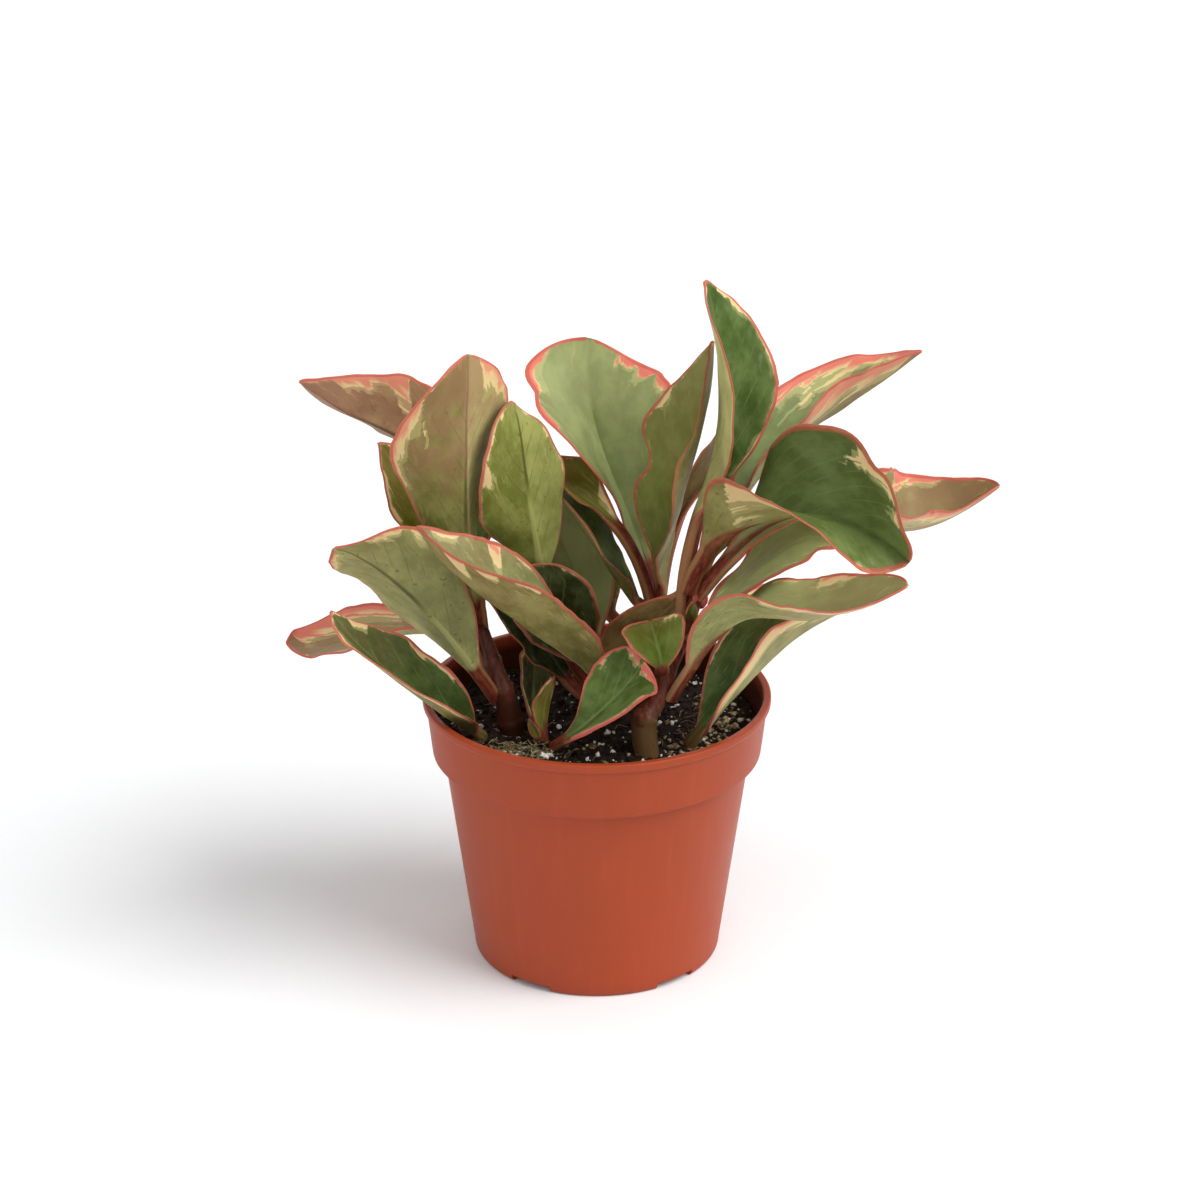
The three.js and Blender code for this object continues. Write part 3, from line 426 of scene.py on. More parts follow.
LOOKS = {
    "upper_left": look(
        [(0.9, 1, 1.4), (0.78, 0.91, 5.5), (0.66, 0.8, 3.5), (0.6, 0.7, 9.5)], [], lower="plum",
        blush=0.7, red=0.8, pink=0.6),
    # tall_left's lighter left half is painted light, where the key lamp falls on that half
    "tall_left": look(
        [(0.91, 0.985, 6.5), (0.84, 0.92, 3.5)], [(0.83, 0.905, 8), (0.73, 0.84, 5), (0.58, 0.74, 3)],
        edge=(0.5, 1), lower="moss", blush=0.65, halves=(0.7, 0), red=0.9, pink=0.4),
    "narrow_left": look([(0.5, 0.85, 3)], [], upper="gold", pink=0.1, red=0.6),
    "broad_left": look(
        [(0.78, 0.92, 3.5), (0.6, 0.72, 3), (0.42, 0.5, 2)], [(0.84, 0.98, 3), (0.55, 0.6, 1.4)],
        lower="stone", blush=0.15, halves=(0.05, 0.15), red=0.8, pink=0.3, wedge=0),
    "low_back_left": look(
        [(0.45, 0.62, 4), (0.2, 0.35, 2)], [(0.34, 0.72, 6), (0.7, 0.94, 10), (0.15, 0.3, 3)],
        upper="mauve", blush=0.6, halves=(0.3, 0.3), red=0.8, pink=0.6),
    "upright_middle": look(
        [(0.66, 0.74, 2.4), (0.87, 0.93, 1.6), (0.4, 0.66, 1)], [(0.52, 0.62, 3.2), (0.64, 0.9, 1.4)],
        lower="moss", blush=0, halves=(0.15, 0), edge=(0.6, 0.9), red=0.7, pink=0.15, wedge=0),
    "bowed_middle": look(
        [], [(0.87, 0.97, 3.2), (0.675, 0.725, 13), (0.48, 0.62, 1.6)],
        under=([(0.835, 0.885, 10), (0.73, 0.79, 5.5), (0.58, 0.68, 2.5)], []), upper="stone",
        blush=0.3, red=1.2, pink=0.2, streaks=0.35),
    "inner_low": look(upper="deep", blush=0, edge=(0.3, 0.5), red=0.5, pink=0),
    "inner_high": look(
        [(0.6, 0.9, 1.2)], [(0.6, 0.9, 1.2)], upper="deep", blush=0, edge=(0.3, 0.6), red=1.0, pink=0),
    "grey_middle": look([(0.84, 0.9, 4)], upper="sage", halves=(0.3, 0.3), red=0.5, pink=0.4),
    "bright_small": look([], [(0.8, 0.95, 2)], upper="lime", edge=(0.4, 0.6), red=0.7, pink=0.1, streaks=0),
    "arching_inward": look(lower="bronze", edge=(0.3, 0.5), red=0.8, pink=0.1),
    "tall_right": look(
        [], [(0.9, 0.96, 2.2), (0.74, 0.88, 1.7), (0.6, 0.72, 1.6), (0.4, 0.58, 2)],
        edge=(0.6, 1.2), upper="dark", lower="straw", blush=0, red=0.8, pink=0.35, streaks=0.1),
    "upper_right": look(
        [(0.44, 0.6, 5), (0.585, 0.655, 9), (0.65, 0.9, 6), (0.9, 1, 4)], [(0.85, 1, 3)],
        under=([], [(0.3, 0.97, 10)]), upper="sage", lower="stone", blush=0.5, red=0.8, pink=0.65,
        streaks=0.1, wedge=0.2),
    "far_right": look(
        [(0.7, 0.765, 9.5), (0.76, 0.9, 4), (0.5, 0.6, 4)], [], under=([], [(0.3, 0.95, 9)]),
        upper="stone", lower="stone", blush=0.7, halves=(0.25, 0.25), red=1.0, pink=0.6, wedge=0.3),
    "broad_dark": look(
        [(0.73, 0.79, 8), (0.79, 0.87, 3), (0.89, 0.92, 6), (0.38, 0.48, 1.8)], [(0.86, 0.92, 2)],
        under=([], [(0.36, 0.57, 15), (0.55, 0.85, 9)]), upper="dark", lower="khaki", blush=0,
        halves=(0.08, 0.08), red=1.5, pink=0.15, streaks=0.08, wedge=0.34),
    # flat_right's lighter halves are painted light on a leaf that lies in shade
    "flat_right": look(
        [(0.6, 0.7, 4)], [], upper="sage", blush=0, halves=(0.3, 0.3), red=1.4, pink=0.4, streaks=1,
        wedge=0.25),
    "low_right": look(
        [(0.74, 0.88, 4), (0.44, 0.62, 2.6)], [], under=([], [(0.5, 0.95, 4)]), upper="sage",
        lower="stone", blush=0.35, halves=(0.35, 0.05), red=0.9, pink=0.3, streaks=0.45, wedge=0.25),
    "pink_bract": look(edge=(3, 3), red=1.0, pink=1.0),
    "growing_tip": look(edge=(0.1, 0.1), upper="lime", lower="lime", red=0.1, stalk=0.2),
    "broad_back": look(
        [(0.84, 0.95, 3.6), (0.74, 0.815, 2.6)],
        [(0.86, 0.95, 3.6), (0.855, 0.89, 7.5), (0.93, 0.95, 5.5), (0.76, 0.84, 3.4)],
        upper="sage", blush=0.1, halves=(0.12, 0.12), red=1.2, pink=0.8, streaks=0.3, wedge=0.15),
    "upright_back": look(
        [(0.75, 0.84, 2.4)], [], upper="moss", blush=0.15, halves=(0.1, 0.1), edge=(0.6, 1),
        red=0.9, pink=0.2, wedge=0.25),
    "olive_back": look([(0.8, 0.95, 1)], [(0.08, 0.42, 3)], upper="gold", blush=0.2, red=0.8, pink=0.1),
    "dark_back": look([(0.5, 0.8, 1.5)], upper="dark", blush=0, red=0.7, pink=0),
    "slim_back": look(
        upper="bronze", lower="bronze", edge=(0.5, 0.8), red=1.0, pink=0.4, wedge=0.5),
    "front_leaf": look(
        [(0.7, 0.78, 2.6), (0.95, 1, 4)], [(0.92, 1, 4), (0.15, 0.75, 2.2)], edge=(0.4, 0.9),
        upper="dark", blush=0, red=0.8, pink=0.8, streaks=0.02),
    "low_right_leaf": look(
        [(0.3, 0.8, 1.6)], [(0.1, 0.9, 1.9)], under=([(0.3, 1, 7)], [(0.1, 1, 5)]), upper="dark",
        lower="stone", red=0.6, pink=0.2, stalk=0.55),
    "low_left_leaf": look(
        [(0.15, 0.92, 1.9)], [(0.8, 0.9, 3.2), (0.44, 0.56, 2.8), (0.25, 0.46, 1.8)], upper="dark",
        blush=0.2, halves=(-0.3, -0.3), red=0.7, pink=0.25, streaks=0.1, stalk=0.4),
    "inner_leaf": look([(0.1, 0.9, 1.4)], upper="deep", red=0.5, pink=0.1),
    "sprout_first": look(edge=(0.3, 0.5), upper="gold", red=0.3, pink=0, stalk=0.9),
    "sprout_second": look(edge=(0.2, 0.3), upper="gold", red=0.2, pink=0),
}
UNSEEN = look(
    [(0.35, 0.45, 3), (0.6, 0.75, 4), (0.88, 0.97, 5)], [(0.45, 0.6, 4), (0.72, 0.9, 3)],
    lower="khaki", pink=0.4)

# Stems: the CAD node, points from below the soil upwards with the radius at each, and where along
# the stem its nodes swell, each with a scar above it
STEMS = {
    "left_stem": (
        "left_shoot",
        [(-27, -11, 74, 4.2), (-28.5, -11, 84, 4.3), (-31, -11.5, 98, 4.1), (-35, -10, 110, 3),
         (-39, -8.5, 124, 2)],
        (0.36, 0.58, 0.78)),
    "middle_stem": (
        "middle_shoot",
        [(4, 6, 74, 3.4), (4, 6, 84, 3.5), (3.5, 6, 90, 3.4), (3, 6, 97, 2.3)],
        (0.72,)),
    "right_stem": (
        "right_shoot",
        [(17.5, -28, 74, 4), (17, -28, 84, 4.1), (16, -27, 97, 4.3), (20, -24, 103, 3.3),
         (25, -20, 115, 2.8), (30, -16, 126, 2.6), (34, -12.5, 138, 2.2)],
        (0.36, 0.62, 0.8)),
    "right_stub": (
        "right_shoot",
        [(16, -27, 95, 3), (15, -29.5, 99, 2.6), (14, -31, 102.5, 1.8)],
        ()),
    "back_stem": (
        "back_shoot",
        [(16, 13.5, 74, 3.6), (16, 13.5, 84, 3.8), (17, 14, 100, 3.4), (20, 15, 120, 3)],
        (0.45, 0.8)),
}

# A stem's swellings at its nodes, the scar above each, its rounded end and its unevenness
SWELLING, SWELLING_SPREAD = 0.14, 0.035
SCAR_DEPTH, SCAR_SPREAD, SCAR_RISE = 0.22, 0.007, 0.028
STEM_CAP = 0.035
STEM_LUMPS = (0.05, 0.02)

# Large odd numbers that scramble a place and a seed into a random number
PLACE_SCRAMBLERS = (374761393, 668265263, 1103515245)
SEED_SCRAMBLER = 974634777
LAST_SCRAMBLER = 1274126177


# Meshes and noise
def noise(points, seed=0):
    """Smooth noise from -1 to 1 at points in space, whose knots are one unit apart."""
    points = np.asarray(points, float)
    cell = np.floor(points).astype(np.int64)
    share = smoothstep(0, 1, points - cell)
    total = np.zeros(points.shape[:-1])
    for corner in np.ndindex(2, 2, 2):
        knot = cell + np.array(corner)
        mixed = (knot * np.array(PLACE_SCRAMBLERS)).sum(axis=-1)
        mixed = (mixed + seed * SEED_SCRAMBLER) & 0xFFFFFFFF
        mixed = ((mixed ^ (mixed >> 13)) * LAST_SCRAMBLER) & 0xFFFFFFFF
        value = ((mixed ^ (mixed >> 16)) & 0xFFFF) / 32767.5 - 1
        weight = np.where(np.array(corner) == 1, share, 1 - share).prod(axis=-1)
        total += value * weight
    return total


def smoothstep(low, high, value):
    """A smooth step from 0 at low to 1 at high."""
    share = np.clip((np.asarray(value, float) - low) / (high - low), 0, 1)
    return share * share * (3 - 2 * share)


def between(ends, share):
    """The value at that share of the way between two ends."""
    return ends[0] + (ends[1] - ends[0]) * share


def bell(value, spread):
    """A smooth hump, 1 high at nought."""
    return np.exp(-(value / spread) ** 2)


def unit(vectors):
    """The same directions, each one unit long."""
    return vectors / (np.linalg.norm(vectors, axis=-1, keepdims=True) + 1e-9)


def full_turn(count):
    """Angles evenly round a circle."""
    return 2 * np.pi * np.arange(count) / count


def ring(radius, angles, height):
    """Points at one radius from an upright axis."""
    place = np.broadcast_arrays(radius * np.cos(angles), radius * np.sin(angles), height)
    return np.stack(place, axis=-1)


def tube(path, radius, sides, aside):
    """Rings of points round a path, and its two ends. aside is a direction it never takes."""
    along = unit(np.gradient(path, axis=0))
    side = unit(np.cross(along, aside))
    up = np.cross(side, along)
    angles = full_turn(sides)
    across = side[:, None] * (np.cos(angles) * radius)[..., None]
    upward = up[:, None] * (np.sin(angles) * radius)[..., None]
    rings = path[:, None] + across + upward
    return np.concatenate([rings.reshape(-1, 3), path[:1], path[-1:]])


def skin_faces(rows, columns):
    """Faces of a closed skin over rings of points, with a point at each end."""
    around = [(column, (column + 1) % columns) for column in range(columns)]
    faces = []
    for row in range(rows - 1):
        start = row * columns
        end = start + columns
        faces += [(start + column, start + after, end + after, end + column) for column, after in around]
    first = rows * columns
    last = first - columns
    for column, after in around:
        faces += [(first, after, column), (first + 1, last + column, last + after)]
    return faces


def add_object(name, data):
    """An object in the scene for a mesh, a lamp or a camera."""
    item = bpy.data.objects.new(name, data)
    bpy.context.scene.collection.objects.link(item)
    return item


def solid_object(name, points, faces, sharp=180):
    """A closed mesh in millimetres, with no material yet."""
    mesh = bpy.data.meshes.new(name)
    mesh.from_pydata((np.asarray(points, float) * MM).tolist(), [], faces)
    finish_mesh(mesh, sharp)
    return add_object(name, mesh)


def finish_mesh(mesh, sharp):
    """Faces point outward and are shaded smooth, apart from edges sharper than that angle."""
    model = bmesh.new()
    model.from_mesh(mesh)
    bmesh.ops.recalc_face_normals(model, faces=model.faces)
    for face in model.faces:
        face.smooth = True
    for edge in model.edges:
        edge.smooth = edge.calc_face_angle(0) < math.radians(sharp)
    model.to_mesh(mesh)
    model.free()


def dress(piece, material, node):
    """A piece gets its material, rides on the one body and stands for a CAD node."""
    piece.data.materials.append(material)
    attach(piece, BODY)
    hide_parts(node)


def give_vectors(piece, name, values):
    """A vector for each of a piece's points, for its material to read."""
    attribute = piece.data.attributes.new(name, "FLOAT_VECTOR", "POINT")
    attribute.data.foreach_set("vector", np.asarray(values, np.float32).ravel())


# Leaves
def blend(values, s):
    """A value given at base, middle and tip, joined smoothly between them."""
    base, middle, tip = values
    s = np.clip(s, 0, 1)
    lower = base + (middle - base) * np.sin(np.pi * s)
    upper = middle + (tip - middle) * (1 - np.cos(np.pi * (s - 0.5)))
    return np.where(s < 0.5, lower, upper)


def outline(m, s):
    """The blade's half width at s, as a share of its widest."""
    s = np.clip(s, 0, 1)
    swell = m["blunt"] * m["widest"] / (1 - m["widest"])
    peak = m["widest"] ** swell * (1 - m["widest"]) ** m["blunt"]
    return s ** swell * (1 - s) ** m["blunt"] / peak


def half_width(m, s, side):
    """The half width of one side of the blade, with that margin's dents."""
    left_over = np.ones_like(s)
    for place, depth, spread in m["dents"][side]:
        left_over -= depth * bell(s - place, spread)
    return m["half"][side] * left_over * outline(m, s)


def curve_points(m, t):
    """Points and directions of a leaf's curve at t."""
    a, b, c, d = (np.array(m[key], float) for key in ("root", "rise", "arch", "tip"))
    t = t[:, None]
    points = a * (1 - t) ** 3 + 3 * b * t * (1 - t) ** 2 + 3 * c * t ** 2 * (1 - t) + d * t ** 3
    along = (b - a) * (1 - t) ** 2 + 2 * (c - b) * t * (1 - t) + (d - c) * t ** 2
    return points, along / np.linalg.norm(along, axis=1, keepdims=True)


def leaf_directions(m, along, t):
    """The directions towards the leaf's left margin and out of its top, at each row."""
    facing = math.radians(m["facing"])
    left = np.tile([-math.sin(facing), math.cos(facing), 0.0], (len(t), 1))
    left -= along * (left * along).sum(axis=1, keepdims=True)
    left /= np.linalg.norm(left, axis=1, keepdims=True)
    up = np.cross(along, left)
    roll = np.radians(between(m["roll"], t))[:, None]
    return left * np.cos(roll) + up * np.sin(roll), up * np.cos(roll) - left * np.sin(roll)


def leaf_rows(m, rooted):
    """The rows of a leaf as places on its curve, and how far each lies below its root."""
    length = np.linalg.norm(np.subtract(m["tip"], m["root"]))
    count = int(np.clip(length * ROWS_PER_MM, *BLADE_ROWS))
    even = np.arange(1, count) / count
    crowded = 0.5 - 0.5 * np.cos(np.pi * even)
    blade = EVENNESS * even + (1 - EVENNESS) * crowded
    stalk = np.linspace(0, 1, max(4, int(STALK_ROWS * m["neck"])), endpoint=False)
    t = np.concatenate([stalk * m["neck"], m["neck"] + (1 - m["neck"]) * blade, [LAST_ROW]])
    below = np.zeros(len(t))
    if rooted:
        t = np.concatenate([np.zeros(ROOT_ROWS), t])
        below = np.concatenate([np.linspace(ROOT_DEPTH, 1, ROOT_ROWS), below])
    return t, below


def leaf_surface(m, rooted, seed):
    """A leaf's middle surface as rows of points, with what its faces and colours need there."""
    t, below = leaf_rows(m, rooted)
    centre, along = curve_points(m, t)
    centre[:, 2] -= below
    along = np.where(below[:, None] > 0, [0.0, 0.0, 1.0], along)
    left, up = leaf_directions(m, along, t)

    # Each point's place along and across, and what share of it is blade and not stalk
    s = ((t - m["neck"]) / (1 - m["neck"]))[:, None]
    reach = np.abs(ACROSS)[None, :]
    on_left = ACROSS[None, :] < 0
    sign = np.where(on_left, 1.0, -1.0)
    stalk = STALK_RADIUS * m["thick"] * np.sqrt(1 - np.clip(s, 0, 1))
    blade = np.where(on_left, half_width(m, s, 0), half_width(m, s, 1))
    width = np.hypot(stalk, blade)
    share = (blade / width) ** 2

    # Each half bends along an arc that starts at its fold, and its margin waves up and down
    left_fold, right_fold = (blend(folds, s) for folds in m["folds"])
    fold = np.radians(np.where(on_left, left_fold, right_fold)) * share
    curl = np.radians(np.where(on_left, *m["curl"])) * share + 1e-6
    slope = fold + curl * (2 * reach - 1)
    out = (np.sin(slope) - np.sin(fold - curl)) / (2 * curl)
    rise = (np.cos(fold - curl) - np.cos(slope)) / (2 * curl)
    rise = rise * reach / np.sqrt(reach ** 2 + (FOLD_ROUND * share / width) ** 2 + 1e-9)
    phase = math.radians(37 * m["tip"][0] + 91 * m["tip"][2]) + np.where(on_left, 0, 2)
    wave = WAVE_HEIGHT * blade * reach ** 2 * np.sin(2 * np.pi * WAVES * s + phase)
    sideways = sign * (width * out - wave * np.sin(slope))
    upward = width * rise + wave * np.cos(slope)

    # Swells over the blade, and ruffles and scallops along its margins
    length = np.concatenate([[0], np.cumsum(np.linalg.norm(np.diff(centre, axis=0), axis=1))])
    length = (length - np.interp(m["neck"], t, length))[:, None] + 0 * reach
    offset = sign * width * reach
    place = np.stack([length / SWELL_SIZE[0], offset / SWELL_SIZE[1], 0 * offset + 0.37], axis=-1)
    swell = noise(place, seed) * SWELL_HEIGHTS[0] + noise(place * FINER, seed + 1) * SWELL_HEIGHTS[1]
    swell = swell * np.clip(length / SWELL_START, 0, 1)
    margin = np.stack([length / RUFFLE_LENGTH, sign * 3 + 0 * offset, 0 * offset], axis=-1)
    ruffle = noise(margin, seed + 2) + 0.6 * noise(margin * FINER, seed + 3)
    scallop = noise(margin * 0.9 + 7, seed + 4) + 0.7 * noise(margin * 2.1 + 7, seed + 5)
    upward = upward + share * (swell + RUFFLE_HEIGHT * ruffle * reach ** 4)
    sideways = sideways * (1 + SCALLOP_SHARE * scallop * reach ** 3 * share)

    points = centre[:, None] + left[:, None] * sideways[..., None] + up[:, None] * upward[..., None]
    normal = unit(np.cross(np.gradient(points, axis=1), np.gradient(points, axis=0)))
    if (normal * up[:, None]).sum() < 0:
        normal = -normal
    return dict(
        points=points, normal=normal, s=s + 0 * reach, reach=reach + 0 * s, share=share + 0 * reach,
        length=length, offset=offset,
    )


def leaf_rings(m, f):
    """Rings of points round a leaf: its top, right margin, underside and left margin."""
    inner = np.clip(1 - f["s"], 0, 1)
    from_rib = np.abs(f["offset"])
    stalk_height = 2 * STALK_RADIUS * STALK_FLATNESS * m["thick"] - BLADE_EDGE
    round_part = np.sqrt(1 - f["reach"] ** 2) * stalk_height * (1 - f["share"])
    keel_width, groove_width = (tip + base * inner for tip, base in (KEEL_WIDTH, GROOVE_WIDTH))
    keel = (KEEL_DEPTH * inner + KEEL_END) * bell(from_rib, keel_width) * f["share"]
    depth = BLADE_EDGE + round_part + keel
    above = depth / 2 + (BLADE_TOP_SKIN - depth / 2) * f["share"]
    groove = GROOVE_DEPTH * bell(from_rib, groove_width) * f["share"]
    thin = 1 - MARGIN_THINNING * smoothstep(0.9, 1, f["reach"]) * f["share"]
    points = f["points"]
    top = points + f["normal"] * ((above - groove) * thin)[..., None]
    under = points + f["normal"] * ((above - depth) * thin)[..., None]
    rim = RIM_ROUND * f["share"][:, :1]
    left_edge = points[:, 0] + unit(points[:, 0] - points[:, 1]) * rim
    right_edge = points[:, -1] + unit(points[:, -1] - points[:, -2]) * rim
    return np.concatenate([top, right_edge[:, None], under[:, ::-1], left_edge[:, None]], axis=1)


def around(top, under):
    """Values for a leaf's rings from those of its two faces, where the margins count as top."""
    return np.concatenate([top, top[:, -1:], under[:, ::-1], top[:, :1]], axis=1)


def margin_distance(f):
    """How far each point of a leaf is from the margin of its blade."""
    blade = f["s"][:, 0] > 0.01
    margins = f["points"][blade][:, [0, -1]].reshape(-1, 3)
    flat = f["points"].reshape(-1, 3)
    gaps = np.linalg.norm(flat[:, None] - margins[None], axis=2).min(axis=1)
    return gaps.reshape(f["s"].shape)


def pale_depth(style, blocks, reached, s):
    """How deep the pale border reaches in from one margin, for each point's place along it."""
    depth = between(style["edge"], s)
    for start, end, deep in blocks:
        opened = smoothstep(start - BLOCK_EASE, start + BLOCK_EASE, reached)
        closed = smoothstep(end + BLOCK_EASE, end - BLOCK_EASE, reached)
        depth = np.maximum(depth, deep * opened * closed)
    return depth


def build_leaf(name, m, style, seed, rooted):
    """A leaf as a closed solid: both faces, a rounded margin, a grooved midrib and a keel."""
    f = leaf_surface(m, rooted, seed)
    rings = leaf_rings(m, f)
    rows, ring_size = rings.shape[:2]
    middle = len(REACHES)
    ends = [f["points"][0, middle], m["tip"]]
    points = np.concatenate([rings.reshape(-1, 3), ends])
    piece = solid_object(name, points, skin_faces(rows, ring_size), sharp=75)
    dress(piece, leaf_material(name, style, seed), m["node"])

    # What the leaf's material reads at each point
    margin = margin_distance(f)
    fan = f["offset"] / (np.clip(f["length"], 0, None) + FAN_ORIGIN) * FAN_SPAN
    from_rib = np.abs(f["offset"])
    to_left = smoothstep(-2.5, 2.5, f["offset"])
    reached = f["s"] + VEIN_SLANT * margin / f["length"][-1, 0]
    depths = []
    for blocks in (style["blocks"], style["under"]):
        left_depth, right_depth = (pale_depth(style, side, reached, f["s"]) for side in blocks)
        depths.append(between((right_depth, left_depth), to_left))
    beneath = around(0 * margin, 0 * margin + 1)
    beneath[:, [2 * middle + 1, -1]] = 0.5
    drawing = {
        "leaf_place": [around(value, value) for value in (fan, f["length"], margin)],
        "leaf_state": [around(f["s"], f["s"]), beneath, around(1 - f["share"], 1 - f["share"])],
        "leaf_flame": [around(*depths), around(f["offset"], f["offset"]), around(from_rib, from_rib)],
    }
    for key, values in drawing.items():
        values = [np.concatenate([value.ravel(), value[[0, -1], middle]]) for value in values]
        give_vectors(piece, key, np.stack(values, axis=1))


# Materials
def colour(red, green, blue):
    """A colour given as it looks on a screen, from 0 to 255, in the renderer's linear numbers."""
    shares = [value / 255 for value in (red, green, blue)]
    return tuple(v / 12.92 if v <= 0.04045 else ((v + 0.055) / 1.055) ** 2.4 for v in shares) + (1,)


def tint(first, second, share):
    """A colour between two others."""
    return tuple(a + (b - a) * share for a, b in zip(first, second))


PAINT = {name: colour(*tone) for name, tone in TONES.items()}


class Value:
    """A number, a vector or a colour in a material, which takes the usual signs for sums."""

    def __init__(self, graph, socket):
        self.graph = graph
        self.socket = socket

    def __add__(self, other):
        return self.graph.math("ADD", self, other)

    def __sub__(self, other):
        return self.graph.math("SUBTRACT", self, other)

    def __rsub__(self, other):
        return self.graph.math("SUBTRACT", other, self)

    def __mul__(self, other):
        return self.graph.math("MULTIPLY", self, other)

    def __truediv__(self, other):
        return self.graph.math("DIVIDE", self, other)

    def __pow__(self, other):
        return self.graph.math("POWER", self, other)

    __radd__ = __add__
    __rmul__ = __mul__


class Graph:
    """A material and short ways to add nodes to it."""

    def __init__(self, name, roughness=0.5, specular=0.5):
        self.material = bpy.data.materials.new(name)
        self.material.use_nodes = True
        self.nodes = self.material.node_tree.nodes
        self.links = self.material.node_tree.links
        self.shader = self.nodes["Principled BSDF"]
        self.shader.inputs["Roughness"].default_value = roughness
        self.shader.inputs["Specular IOR Level"].default_value = specular
        self.tones = [colour(*tone) for tone in SKINS.get(name, [])]

    def put(self, socket, value):
        if isinstance(value, Value):
            self.links.new(value.socket, socket)
        else:
            socket.default_value = value

    def node(self, kind, *values, **settings):
        """A new node, with its settings made and its first sockets filled."""
        node = self.nodes.new("ShaderNode" + kind)
        for key, setting in settings.items():
            setattr(node, key, setting)
        for socket, value in zip(node.inputs, values):
            self.put(socket, value)
        return node

    def split(self, vector):
        return [Value(self, socket) for socket in self.node("SeparateXYZ", vector).outputs]

    def join(self, x, y, z=0.0):
        return Value(self, self.node("CombineXYZ", x, y, z).outputs[0])

    def attribute(self, name):
        node = self.node("Attribute", attribute_name=name)
        return self.split(Value(self, node.outputs["Vector"]))

    def place(self):
        """The point's place on the object, in millimetres."""
        place = Value(self, self.node("TexCoord").outputs["Object"])
        scale = self.node("VectorMath", place, operation="SCALE")
        scale.inputs["Scale"].default_value = 1 / MM
        return Value(self, scale.outputs[0])

    def math(self, operation, *values):
        return Value(self, self.node("Math", *values, operation=operation).outputs[0])

    def step(self, value, low, high, start=0.0, end=1.0):
        """A smooth step from start at low to end at high."""
        node = self.node("MapRange", value, low, high, start, end, interpolation_type="SMOOTHSTEP")
        return Value(self, node.outputs[0])

    def mix(self, share, first, second):
        """A share of the second colour in the first."""
        node = self.node("Mix", share, data_type="RGBA")
        self.put(node.inputs[6], first)
        self.put(node.inputs[7], second)
        return Value(self, node.outputs[2])

    def noise(self, vector, scale, detail=2.0, roughness=0.5, distortion=0.0):
        node = self.node("TexNoise")
        settings = {
            "Vector": vector, "Scale": scale, "Detail": detail, "Roughness": roughness,
            "Distortion": distortion,
        }
        for key, setting in settings.items():
            self.put(node.inputs[key], setting)
        return Value(self, node.outputs["Fac"])

    def cells(self, place, scale):
        """Three random numbers for each cell along a line."""
        node = self.node("TexVoronoi", voronoi_dimensions="1D")
        self.put(node.inputs["W"], place)
        self.put(node.inputs["Scale"], scale)
        return self.split(Value(self, node.outputs["Color"]))

    def bump(self, height, distance, strength):
        node = self.node("Bump")
        for key, value in (("Distance", distance * MM), ("Strength", strength), ("Height", height)):
            self.put(node.inputs[key], value)
        self.put(self.shader.inputs["Normal"], Value(self, node.outputs[0]))

    def finish(self, base, roughness=None):
        self.put(self.shader.inputs["Base Color"], base)
        if roughness is not None:
            self.put(self.shader.inputs["Roughness"], roughness)
        return self.material


